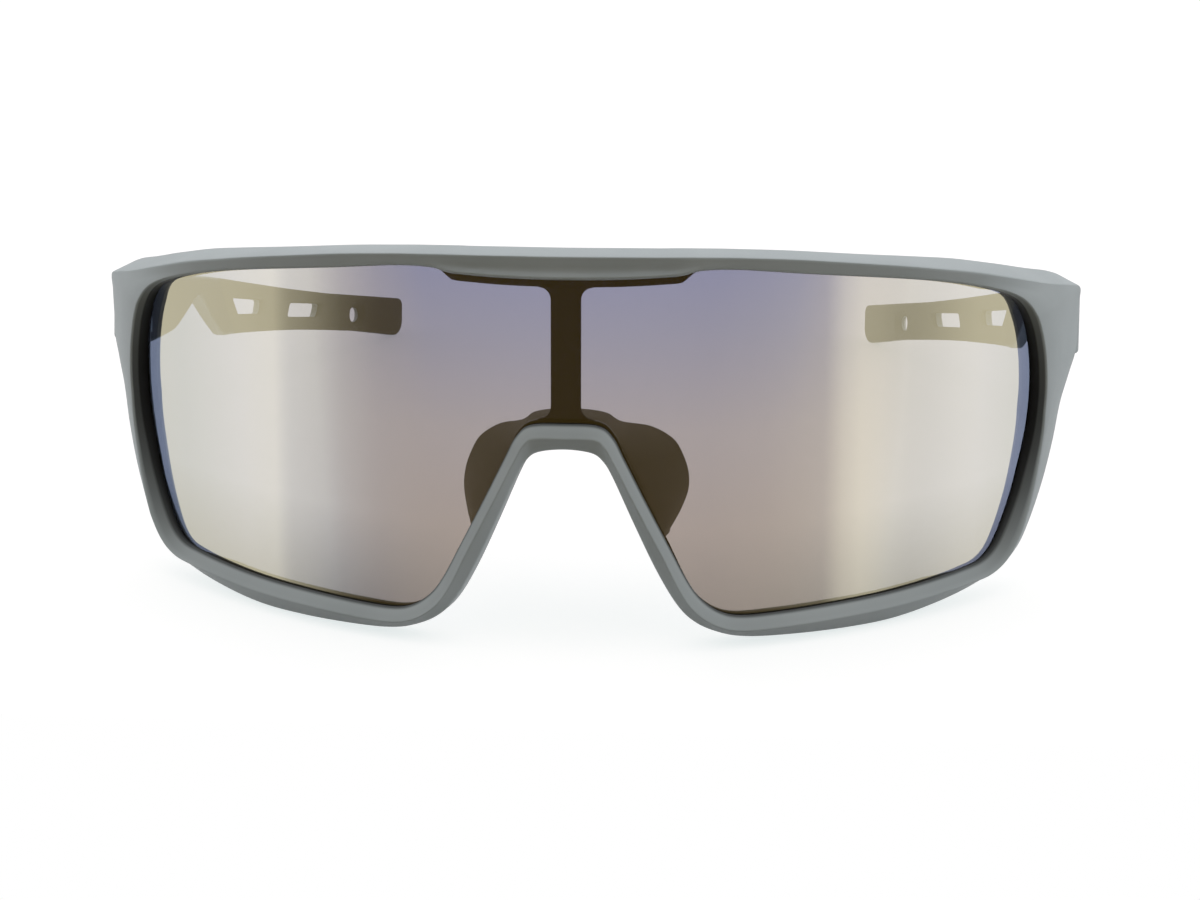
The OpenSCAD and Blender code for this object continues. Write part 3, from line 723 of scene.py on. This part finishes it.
def shield_lens():
    """The lens as a fine grid of upright columns on both faces."""
    half_width, upper, lower = lens_edges()
    rings = []
    for share in np.linspace(-1, 1, LENS_COLUMNS + 1):
        u = half_width * LENS_END_SHARE * np.sin(share * np.pi / 2)
        top = np.interp(abs(u), upper[:, 0], upper[:, 1])
        low = np.interp(abs(u), lower[:, 0], lower[:, 1])
        rows = np.linspace(0, 1, LENS_ROWS + 1)
        front = [(u, mix(low, top, t), 0) for t in rows]
        rear = [(u, mix(top, low, t), -LENS_T) for t in rows]
        rings.append(on_front(np.array(front + rear)))
    return settle(swept("lens_shield", rings), LENS_SMOOTH)


def coat_front(piece):
    """The lens's first material on its front face, and the second on its edges and rear face."""
    ring_size = 2 * (LENS_ROWS + 1)
    for index, face in enumerate(piece.data.polygons):
        in_front = index < LENS_COLUMNS * ring_size and index % ring_size < LENS_ROWS
        face.material_index = 0 if in_front else 1


# The nose pad

def pad_rows():
    """Rows of the pad along both wings, on a smooth curve."""
    half = np.array(PAD_SHARES) * [HALF_ARC, FRONT_H, PAD_REACH, PAD_REACH, PAD_REACH]
    whole = np.vstack([half, half[-2::-1] * [-1, 1, 1, -1, 1]])
    last = len(whole) - 1
    rows = [
        curve(whole[max(i - 1, 0)], whole[i], whole[i + 1], whole[min(i + 2, last)], k / PAD_STEPS)
        for i in range(last) for k in range(PAD_STEPS)]
    return np.array(rows + [whole[last]])


def seated(points):
    """Points of the pad's front edge, moved onto the face that it sits on."""
    seat_r = LENS_RADIUS - RIM_BACK - PAD_SEAT
    back = LENS_RADIUS - np.sqrt(seat_r ** 2 - points[:, 0] ** 2)
    return np.column_stack([points[:, 0], back, points[:, 2]])


def pad_end(ring, middle, step):
    """Ever smaller copies of an end ring that round the pad off."""
    turns = np.linspace(0, np.pi / 2, PAD_END_STEPS + 1)[1:] * PAD_END_TURN_SHARE
    return [
        middle + (ring - middle) * mix(1, np.cos(turn), PAD_END_NARROW_SHARE)
        + step * np.sin(turn) * PAD_T * PAD_END_REACH_SHARE
        for turn in turns]


def nose_pad():
    """The soft saddle with a wing on each side."""
    rows = pad_rows()
    seat = np.full(len(rows), -RIM_BACK - PAD_SEAT)
    front = on_front(np.column_stack([rows[:, 0], rows[:, 1], seat]))
    rear = front + np.column_stack([rows[:, 3], rows[:, 2], -rows[:, 4]])
    order = np.arange(len(rows))
    ahead = np.minimum(order + PAD_STEPS // 2, order[-1])
    behind = np.maximum(order - PAD_STEPS // 2, 0)
    along = front[ahead] - front[behind]
    back = unit(rear - front)
    across = unit(np.cross(back, along)) * PAD_T / 2
    corners = [
        seated(front + across),
        rear + across + back * PAD_T / 2,
        rear - across + back * PAD_T / 2,
        seated(front - across)]
    rings = np.stack(softened(corners, PAD_ROUNDS, PAD_ROUND_STEPS), axis=1)
    middle = rings.mean(axis=1)
    step = unit(along)
    first_end = pad_end(rings[0], middle[0], -step[0])
    last_end = pad_end(rings[-1], middle[-1], step[-1])
    return settle(swept("saddle_pad", np.concatenate([first_end[::-1], rings, last_end])), PAD_SMOOTH)


# The temples

def sized(shares):
    """Points of the temple's side view from its shares."""
    return np.array(shares) * [ARM_LEN, ARM_H]


def arc_points(centre, radius, start, stop):
    """Points of an arc, in degrees."""
    turns = np.linspace(start, stop, TIP_STEPS + 1) * DEGREE
    return [np.array(centre) + radius * np.array([np.cos(turn), np.sin(turn)]) for turn in turns]


def arm_outline():
    """Side view of a temple with its bends softened and its tip rounded."""
    front = LUG_FACE + BUTT_GAP
    top = list(sized(ARM_TOP_SHARES))
    bottom = list(sized(ARM_BOTTOM_SHARES))
    tip_high = (ARM_LEN - TIP_TOP_ROUND, top[-1][1] - TIP_TOP_ROUND)
    tip_low = (ARM_LEN - TIP_ROUND, TIP_LOW_SHARE * ARM_H + TIP_ROUND)
    points = [np.array((front, LUG_TOP))] + top[:-1]
    tail = bottom + [np.array((front, LUG_BOTTOM))]
    top_rounds = [ARM_FRONT_ROUND] + [ARM_TOP_ROUND] * (len(points) - 1)
    outline = softened(points, top_rounds, OUTLINE_STEPS, closed=False)
    outline += arc_points(tip_high, TIP_TOP_ROUND, 90, 0) + arc_points(tip_low, TIP_ROUND, 0, -90)
    return outline + softened(tail, [ARM_BOTTOM_ROUND] * len(tail), OUTLINE_STEPS, closed=False)


def cord_dishes():
    """The wide mouths of the cord hole on both faces of the flat plate, as tools."""
    y, z = sized(CORD_HOLE_SHARES)
    tools = []
    for way in (-1, 1):
        rings = []
        for depth in (CORD_LAND / 2, EAR_T / 2 + CUT_SPARE):
            radius = CORD_HOLE_D / 2 + (depth - CORD_LAND / 2) * CORD_DISH_SLOPE
            x = ARM_T / 2 + way * depth * PLATE_SHARE
            rings.append([(x, y + across, z + up) for across, up in circle(radius)])
        tools.append(swept("dish", rings))
    return tools


def weld(work):
    """Joins the doubled points of a filled outline and turns its faces outwards."""
    bmesh.ops.remove_doubles(work, verts=work.verts, dist=WELD_GAP)
    bmesh.ops.recalc_face_normals(work, faces=work.faces)


def flat_plate(name):
    """The temple as a flat plate with slots and rounded edges: depth, distance back, height."""
    slots = [
        softened(sized(shares), [SLOT_ROUND] * len(shares), OUTLINE_STEPS) for shares in SLOT_SHARES]
    hole = np.array(circle(CORD_HOLE_D / 2)) + sized(CORD_HOLE_SHARES)
    plan = bpy.data.curves.new(name, "CURVE")
    plan.dimensions = "2D"
    plan.fill_mode = "BOTH"
    plan.extrude = ARM_T / 2 - ARM_EDGE_ROUND
    plan.bevel_depth = ARM_EDGE_ROUND
    plan.bevel_resolution = EDGE_STEPS
    plan.offset = -ARM_EDGE_ROUND
    for outline in [arm_outline()] + slots + [hole]:
        line = plan.splines.new("POLY")
        line.points.add(len(outline) - 1)
        for point, (y, z) in zip(line.points, outline):
            point.co = (y, z, 0, 1)
        line.use_cyclic_u = True
    drawn = new_object(name, plan)
    mesh = evaluated_mesh(drawn)
    bpy.data.objects.remove(drawn)
    edit(mesh, weld)
    plate = new_object(name, mesh)
    moved(plate, lambda points: points[:, [2, 0, 1]] + [ARM_T / 2, 0, 0])
    for dish in cord_dishes():
        combined(plate, dish, "DIFFERENCE")
    return plate


def grip_wedge(depth, gap):
    """Everything behind the grip's slanting front edge, down to a depth, as a tool for the flat plate."""
    (front_y, front_z), (low_y, low_z) = sized(GRIP_FRONT_SHARES)
    far = 2 * ARM_LEN
    side = [(front_y + gap, front_z), (far, front_z), (far, low_z), (low_y + gap, low_z)]
    rings = [[(x, y, z) for y, z in side] for x in (-CUT_SPARE, depth)]
    return swept("wedge", rings)


def bend_walk():
    """Points along the temple's inner face seen from above, and its outer face."""
    at = np.array([0, LUG_FACE + BUTT_GAP])
    turn = 0
    moves = [(0, 0), (ARM_STRAIGHT_SHARE * ARM_LEN, 0)]
    moves += [(BEND_SHARE * ARM_LEN / BEND_STEPS, BEND_ANGLE / BEND_STEPS)] * BEND_STEPS
    moves += [(EAR_SHARE * ARM_LEN, 0)]
    moves += [(FLARE_SHARE * ARM_LEN / BEND_STEPS, -FLARE_ANGLE / BEND_STEPS)] * BEND_STEPS
    moves += [(ARM_LEN, 0)]
    inner = []
    outer = []
    for length, bend in [(0, 0)] + moves:
        at = at + length * np.array([-np.sin(turn), np.cos(turn)])
        turn += bend * DEGREE
        thick = np.interp(at[1], [THIN_FROM_SHARE * ARM_LEN, THIN_TO_SHARE * ARM_LEN], [ARM_T, EAR_T])
        inner.append(at)
        outer.append(at + thick * np.array([np.cos(turn), np.sin(turn)]))
    return np.array(inner), np.array(outer)


def bent(points):
    """Points of the flat plate moved onto the bent temple."""
    inner, outer = bend_walk()
    inner_x = np.interp(points[:, 1], inner[:, 1], inner[:, 0])
    outer_x = np.interp(points[:, 1], outer[:, 1], outer[:, 0])
    return np.column_stack([mix(inner_x, outer_x, points[:, 0] / ARM_T), points[:, 1], points[:, 2]])


def sliced(piece):
    """The plate cut across at even steps, so that it bends smoothly."""
    def cut_across(work):
        for y in np.arange(THIN_FROM_SHARE * ARM_LEN, ARM_LEN, CUT_STEP):
            everything = work.verts[:] + work.edges[:] + work.faces[:]
            bmesh.ops.bisect_plane(work, geom=everything, plane_co=(0, y, 0), plane_no=(0, 1, 0))

    edit(piece.data, cut_across)
    return piece


def temple(side, name):
    """One temple with its hinge barrel."""
    made = flat_plate(name)
    combined(made, grip_wedge(GRIP_T * PLATE_SHARE, 0), "DIFFERENCE")
    turn = BARREL_R + TURN_ROOM
    combined(made, prism("turning", circle(turn), -ARM_H, ARM_H), "DIFFERENCE")
    clear = rectangle(-ARM_T, 0, LUG_FACE - CUT_SPARE, turn)
    combined(made, prism("clear", clear, -ARM_H, ARM_H), "DIFFERENCE")
    web = rectangle(-BARREL_R / 2, ARM_T - CUT_SPARE, 0, 2 * BARREL_R)
    combined(made, prism("web", web, BARREL_LOW, BARREL_HIGH), "UNION")
    combined(made, prism("barrel", circle(BARREL_R), BARREL_LOW, BARREL_HIGH), "UNION")
    bore = prism("bore", circle(BORE_R), BARREL_LOW - CUT_SPARE, BARREL_HIGH + CUT_SPARE)
    combined(made, bore, "DIFFERENCE")
    sliced(made)
    depths = np.array([vertex.co.x for vertex in made.data.vertices])
    painted(made, INNER_FACE_BLACK * np.clip(1 - depths / INNER_FACE_DEPTH, 0, 1))
    moved(made, bent)
    return settle(moved(made, at_hinge), ARM_SMOOTH, side)


def temple_grip(side, name):
    """The soft inner layer of a temple over the ear."""
    made = flat_plate(name)
    combined(made, grip_wedge((GRIP_T - MOULDED_GAP) * PLATE_SHARE, MOULDED_GAP), "INTERSECT")
    moved(sliced(made), bent)
    return settle(moved(made, at_hinge), ARM_SMOOTH, side)


# Materials

# The two colours that each material drifts between
GREY_COLOURS = [(0.40, 0.447, 0.468), (0.44, 0.487, 0.508)]
BLACK_COLOURS = [(0.009, 0.009, 0.009), (0.014, 0.014, 0.015)]
PAD_COLOURS = [(0.058, 0.047, 0.008), (0.073, 0.06, 0.015)]
GRIP_COLOURS = [(0.06, 0.054, 0.026), (0.075, 0.068, 0.034)]
WASHER_COLOURS = [(0.62, 0.61, 0.56), (0.7, 0.69, 0.64)]
STEEL_COLOURS = [(0.55, 0.55, 0.56), (0.68, 0.68, 0.69)]
BRASS_COLOURS = [(0.6, 0.46, 0.2), (0.74, 0.58, 0.28)]
COAT_COLOURS = [(0.675, 0.615, 0.41), (0.695, 0.635, 0.43)]
CLEAR_COLOURS = [(0.965, 0.965, 0.97), (0.985, 0.985, 0.99)]

# Strength of the plastic's reflections where it is grey and where it is black
GREY_GLOSS = 0.5
BLACK_GLOSS = 0.12

# How strongly each plastic bends light, and how unevenly the metal shines
PLASTIC_IOR = 1.46
RUBBER_IOR = 1.5
LENS_IOR = 1.5
METAL_UNEVENNESS = 0.15

# Most values of a noise lie between these
NOISE_LOW = 0.3
NOISE_HIGH = 0.7


class Nodes:
    """A node tree, with short ways to add and join nodes."""

    def __init__(self, tree):
        self.tree = tree
        self.tree.nodes.clear()

    def add(self, kind, inputs=None, **settings):
        """A node with its settings, its inputs set to values or joined to other nodes."""
        made = self.tree.nodes.new(kind)
        for key, value in settings.items():
            setattr(made, key, value)
        for key, value in (inputs or {}).items():
            socket = made.inputs[key] if isinstance(key, int) else next(
                s for s in made.inputs if s.name == key and s.enabled)
            if isinstance(value, bpy.types.NodeSocket):
                self.tree.links.new(value, socket)
            else:
                socket.default_value = value
        return made

    def maths(self, operation, first, second=0.0):
        """The result of one sum on one or two values."""
        return self.add("ShaderNodeMath", {0: first, 1: second}, operation=operation).outputs[0]

    def spread(self, value, low, high, start=NOISE_LOW, stop=NOISE_HIGH, **settings):
        """Values between start and stop turned into ones between low and high."""
        return self.add("ShaderNodeMapRange", {
            "Value": value, "From Min": start, "From Max": stop, "To Min": low, "To Max": high},
            **settings).outputs["Result"]

    def stops(self, value, places):
        """A colour that changes over several places of a value."""
        made = self.add("ShaderNodeValToRGB", {"Fac": value})
        elements = made.color_ramp.elements
        while len(elements) < len(places):
            elements.new(0.5)
        for element, (position, colour) in zip(elements, places):
            element.position = position
            element.color = (*colour, 1)
        return made.outputs["Color"]

    def blend(self, share, first, second, blend_type="MIX"):
        """Two colours mixed, or multiplied."""
        made = self.add("ShaderNodeMix", {"Factor": share, "A": first, "B": second},
                        data_type="RGBA", blend_type=blend_type)
        return next(socket for socket in made.outputs if socket.enabled)

    def seen_directly(self):
        """One where the camera sees a surface, plainly or through the lens."""
        rays = self.add("ShaderNodeLightPath").outputs
        either = self.maths("MAXIMUM", rays["Is Camera Ray"], rays["Is Transmission Ray"])
        return self.maths("MULTIPLY", either, self.maths("LESS_THAN", rays["Diffuse Depth"], 0.5))


class Shader(Nodes):
    """A material's node tree."""

    def __init__(self, name):
        self.material = bpy.data.materials.new(name)
        self.material.use_nodes = True
        super().__init__(self.material.node_tree)

    def noise(self, scale, detail=2, roughness=0.5):
        """Cloudy values fixed to the piece."""
        place = self.add("ShaderNodeTexCoord").outputs["Object"]
        return self.add("ShaderNodeTexNoise", {
            "Vector": place, "Scale": scale, "Detail": detail, "Roughness": roughness}).outputs["Fac"]

    def drift(self, noise, colours):
        """A colour that drifts between two with a noise."""
        return self.stops(noise, list(zip((NOISE_LOW, NOISE_HIGH), colours)))

    def bump(self, height, strength, distance, below=None):
        """Small unevenness, over that of another bump where one is given."""
        inputs = {"Height": height, "Strength": strength, "Distance": distance}
        if below:
            inputs["Normal"] = below
        return self.add("ShaderNodeBump", inputs).outputs["Normal"]

    def clear(self, colour):
        """Clear plastic that bends the view through it and lets lamps shine through."""
        bends = self.add("ShaderNodeBsdfRefraction", {"Color": colour, "Roughness": 0.0, "IOR": LENS_IOR})
        passes = self.add("ShaderNodeBsdfTransparent", {"Color": colour})
        rays = self.add("ShaderNodeLightPath").outputs
        lamp = self.maths("MAXIMUM", rays["Is Shadow Ray"], rays["Is Diffuse Ray"])
        return self.mixed(lamp, bends, passes)

    def mixed(self, share, first, second):
        """The surfaces of two nodes mixed."""
        return self.add("ShaderNodeMixShader", {
            "Fac": share, 1: first.outputs[0], 2: second.outputs[0]})

    def finish(self, surface):
        """The material, with a node's surface."""
        self.add("ShaderNodeOutputMaterial", {"Surface": surface.outputs[0]})
        return self.material


def matt_plastic():
    """Grey moulded plastic with a fine spark-eroded grain, black where the moulding is black, and
    darkened by painted shade on the rims' inner facets at the sides.
    """
    shader = Shader("matt_grey_plastic")
    cloud = shader.noise(scale=90, detail=3)
    grain = shader.noise(scale=5200, detail=3, roughness=0.6)
    pores = shader.noise(scale=1500)
    # This layer holds the black moulding and the painted shade on the rims' sides
    black = shader.add("ShaderNodeAttribute", attribute_name=BLACK_AND_SHADE_LAYER).outputs["Fac"]
    fine_bumps = shader.bump(grain, strength=0.22, distance=0.00003)
    return shader.finish(shader.add("ShaderNodeBsdfPrincipled", {
        "Base Color": shader.blend(
            black, shader.drift(cloud, GREY_COLOURS), shader.drift(cloud, BLACK_COLOURS)),
        "Roughness": shader.spread(grain, low=0.46, high=0.6),
        "IOR": PLASTIC_IOR,
        "Specular IOR Level": shader.spread(black, GREY_GLOSS, BLACK_GLOSS, start=0, stop=1),
        "Normal": shader.bump(pores, strength=0.08, distance=0.00006, below=fine_bumps)}))


def rubber(name, colours):
    """Soft moulded rubber with a silky skin."""
    shader = Shader(name)
    cloud = shader.noise(scale=140, detail=3)
    grain = shader.noise(scale=4200, detail=3, roughness=0.6)
    return shader.finish(shader.add("ShaderNodeBsdfPrincipled", {
        "Base Color": shader.drift(cloud, colours),
        "Roughness": shader.spread(grain, low=0.5, high=0.66),
        "IOR": RUBBER_IOR,
        "Normal": shader.bump(grain, strength=0.25, distance=0.00003)}))


# Tint of the lens seen square on, from its lower to its upper edge, its lowest stop darkened by painted
# shade: place and colour
TINT_STOPS = [
    (0.10, (0.47, 0.41, 0.38)),
    (0.30, (0.55, 0.48, 0.45)),
    (0.55, (0.53, 0.485, 0.50)),
    (0.80, (0.415, 0.415, 0.53)),
    (0.97, (0.35, 0.37, 0.55))]

# Its tint where it is seen at a slant: slant and colour
SLANT_STOPS = [
    (0.10, (0.59, 0.54, 0.53)),
    (0.20, (0.66, 0.66, 0.71)),
    (0.33, (0.51, 0.55, 0.73)),
    (0.46, (0.36, 0.44, 0.64))]
SLANT_FROM = 0.08
SLANT_TO = 0.2

# How the slanted tint darkens at the lower edge, as painted shade: place and colour
LOW_SHADE_STOPS = [
    (0.08, (0.5, 0.52, 0.57)),
    (0.32, (1, 1, 1))]

# Height of the lens's upper edge over the table, in metres
TINT_TOP = 0.055

# Share of the mirror coat, seen square on and at a slant
COAT_SQUARE = 0.34
COAT_SLANTED = 0.8

# The faint gloss on the lens's rear face: its colour and its share
BACK_GLOSS = (0.9, 0.9, 0.95, 1)
BACK_GLOSS_SHARE = 0.04

# How rough the lens is in front and behind
COAT_ROUGHNESS = 0.03
BACK_ROUGHNESS = 0.04


def mirror_coat():
    """The lens's front: a warm mirror coat over a tint that turns bluish upwards, with painted shade at
    its lower edge.
    """
    shader = Shader("lens_mirror_coat")
    height = shader.add("ShaderNodeSeparateXYZ", {
        "Vector": shader.add("ShaderNodeTexCoord").outputs["Object"]}).outputs["Z"]
    level = shader.spread(height, 0, 1, start=0, stop=TINT_TOP)
    facing = shader.add("ShaderNodeLayerWeight", {"Blend": 0.5}).outputs["Facing"]
    slanted = shader.blend(
        1.0, shader.stops(facing, SLANT_STOPS), shader.stops(level, LOW_SHADE_STOPS), blend_type="MULTIPLY")
    slant = shader.spread(facing, 0, 1, start=SLANT_FROM, stop=SLANT_TO)
    tint = shader.blend(slant, shader.stops(level, TINT_STOPS), slanted)
    coat = shader.add("ShaderNodeBsdfPrincipled", {
        "Base Color": shader.drift(shader.noise(scale=25), COAT_COLOURS),
        "Metallic": 1,
        "Roughness": COAT_ROUGHNESS})
    share = shader.spread(facing, COAT_SQUARE, COAT_SLANTED, start=0, stop=1)
    return shader.finish(shader.mixed(share, shader.clear(tint), coat))


def clear_back():
    """The lens's rear face and edges: nearly clear, with a faint gloss."""
    shader = Shader("lens_clear_back")
    clear = shader.clear(shader.drift(shader.noise(scale=30), CLEAR_COLOURS))
    gloss = shader.add("ShaderNodeBsdfPrincipled", {
        "Base Color": BACK_GLOSS, "Metallic": 1, "Roughness": BACK_ROUGHNESS})
    return shader.finish(shader.mixed(BACK_GLOSS_SHARE, clear, gloss))


def metal(name, colours, roughness):
    """Turned metal with fine marks."""
    shader = Shader(name)
    marks = shader.noise(scale=2600, detail=4, roughness=0.7)
    return shader.finish(shader.add("ShaderNodeBsdfPrincipled", {
        "Base Color": shader.drift(marks, colours),
        "Metallic": 1,
        "Roughness": shader.spread(marks, roughness, roughness + METAL_UNEVENNESS),
        "Normal": shader.bump(marks, strength=0.15, distance=0.00001)}))


# The pieces

def dress(piece, body, node, slot, *materials):
    """Gives a piece its materials and body, and hides the imported CAD part of its node; slot is not
    used.
    """
    piece.data.materials.clear()
    for material in materials:
        piece.data.materials.append(material)
    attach(piece, body)
    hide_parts(node)


plastic_material = matt_plastic()
pad_material = rubber("dark_pad_rubber", PAD_COLOURS)
grip_material = rubber("olive_grip_rubber", GRIP_COLOURS)
hinge_materials = {
    "screw": metal("screw_steel", STEEL_COLOURS, roughness=0.22),
    "nut": metal("bush_brass", BRASS_COLOURS, roughness=0.25),
    "washers": rubber("pale_washer_nylon", WASHER_COLOURS)}

dress(front_frame(), "front", "front_frame", "frame", plastic_material)
lens = shield_lens()
dress(lens, "front", "shield_lens", "lens", mirror_coat(), clear_back())
coat_front(lens)
pad = nose_pad()
dress(pad, "front", "nose_pad", "pad", pad_material)
for side, word in ((1, "left"), (-1, "right")):
    body = f"{word}_temple"
    arm = temple(side, f"arm_{word}")
    dress(arm, body, f"temple_{word}", "frame", plastic_material)
    grip = temple_grip(side, f"ear_grip_{word}")
    dress(grip, body, f"temple_grip_{word}", "grip", grip_material)
    for node, material in hinge_materials.items():
        for holder in frame["nodes"][f"hinge_{node}_{word}"].material_slots:
            holder.material = material


# Table, light and camera

FLOOR_SIZE = 6
FLOOR_FRONT = -0.1

# The floor as the camera sees it, a glow of its own and a colour that takes the
# shadow, and then its colour for the light that it throws on the object
FLOOR_GLOW = (0.93, 1, 1, 1)
FLOOR_GLOW_LEVEL = 0.78
FLOOR_SHADED = (0.42, 0.34, 0.34, 1)
FLOOR_PALE = (0.45, 0.46, 0.46, 1)

# The room is dark in front, up to this height in degrees and softly bounded
DARK_TOP = 47
DARK_TOP_SOFT = 8
DARK_COLOUR = (0.1, 0.07, 0.02, 1)
WHITE = (1, 1, 1, 1)
SIDE_LEVEL = 1.3
TOP_LEVEL = 0.9

# How bright the room is round the object: degrees from the front towards the
# wearer's left, and share of the side level
ROOM_STOPS = [
    (-180, 0.78), (-125, 0.8), (-100, 0.9), (-76, 0.97), (-69, 0.95), (-65, 0.6), (-60, 0.45),
    (-52, 0.15), (-44, 0.02), (24, 0), (35, 0.08), (42, 0.18), (48, 0.25), (52, 0.7), (56, 0.9),
    (60, 0.84), (64, 0.73), (68, 0.7), (72, 0.76), (76, 0.84), (80, 0.93), (85, 1), (100, 0.95),
    (125, 0.8), (180, 0.78)]


def floor():
    """A plain pale sheet that the camera sees as white with the object's shadow."""
    half = FLOOR_SIZE / 2
    mesh = bpy.data.meshes.new("floor")
    corners = [(x, y, 0) for x, y in rectangle(-half, half, FLOOR_FRONT, FLOOR_SIZE)]
    mesh.from_pydata(corners, [], [(0, 1, 2, 3)])
    made = new_object("floor", mesh)
    shader = Shader("pale_floor")
    glow = shader.add("ShaderNodeEmission", {"Color": FLOOR_GLOW, "Strength": FLOOR_GLOW_LEVEL})
    shaded = shader.add("ShaderNodeBsdfDiffuse", {"Color": FLOOR_SHADED})
    white = shader.add("ShaderNodeAddShader", {0: glow.outputs[0], 1: shaded.outputs[0]})
    pale = shader.add("ShaderNodeBsdfDiffuse", {"Color": FLOOR_PALE})
    made.data.materials.append(shader.finish(shader.mixed(shader.seen_directly(), pale, white)))
    made.visible_glossy = False


def studio():
    """Soft light from above, behind and both sides, and a dark room in front."""
    world = bpy.data.worlds.new("studio")
    bpy.context.scene.world = world
    world.use_nodes = True
    nodes = Nodes(world.node_tree)
    maths = nodes.maths
    parts = nodes.add("ShaderNodeSeparateXYZ", {
        "Vector": nodes.add("ShaderNodeTexCoord").outputs["Generated"]}).outputs
    azimuth = maths("ARCTAN2", parts["X"], maths("MULTIPLY", parts["Y"], -1.0))
    turn = maths("ADD", maths("DIVIDE", azimuth, 2 * np.pi), 0.5)
    places = [(degrees / 360 + 0.5, (bright, bright, bright)) for degrees, bright in ROOM_STOPS]
    above = nodes.spread(
        maths("ARCSINE", parts["Z"]), 0, 1, start=(DARK_TOP - DARK_TOP_SOFT) * DEGREE,
        stop=(DARK_TOP + DARK_TOP_SOFT) * DEGREE, interpolation_type="SMOOTHSTEP")
    round_room = maths("MULTIPLY", nodes.stops(turn, places), SIDE_LEVEL)
    from_sides = maths("MULTIPLY", round_room, maths("SUBTRACT", 1.0, above))
    lit = maths("ADD", from_sides, maths("MULTIPLY", above, TOP_LEVEL))
    seen = nodes.seen_directly()
    colour = nodes.blend(maths("MAXIMUM", maths("MINIMUM", lit, 1.0), seen), DARK_COLOUR, WHITE)

    # Light brighter than white comes from the strength, and the camera sees plain white
    level = maths("MAXIMUM", lit, 1.0)
    strength = maths("ADD", level, maths("MULTIPLY", seen, maths("SUBTRACT", 1.0, level)))
    sky = nodes.add("ShaderNodeBackground", {"Color": colour, "Strength": strength})
    nodes.add("ShaderNodeOutputWorld", {"Surface": sky.outputs[0]})


def camera():
    """The photograph's camera, leant with the object."""
    yaw, pitch, roll = (angle * DEGREE for angle in (CAMERA_YAW, CAMERA_PITCH, CAMERA_ROLL))
    forward = np.array([np.sin(yaw) * np.cos(pitch), np.cos(yaw) * np.cos(pitch), -np.sin(pitch)])
    level_right = np.array([np.cos(yaw), -np.sin(yaw), 0])
    level_up = np.cross(level_right, forward)
    right = np.cos(roll) * level_right + np.sin(roll) * level_up
    up = np.cos(roll) * level_up - np.sin(roll) * level_right
    eye = (SETTLED_TURN @ np.array(CAMERA_PLACE) + SETTLED_MOVE) * MM
    axes = [SETTLED_TURN @ axis for axis in (right, up, -forward)]
    data = bpy.data.cameras.new("camera")
    data.sensor_width = CAMERA_SENSOR
    data.lens = CAMERA_FOCAL
    made = new_object("camera", data)
    placed = np.eye(4)
    placed[:3] = np.column_stack([*axes, eye])
    made.matrix_world = Matrix(placed)
    bpy.context.scene.camera = made


floor()
studio()
camera()
bpy.context.scene.view_settings.view_transform = "Standard"
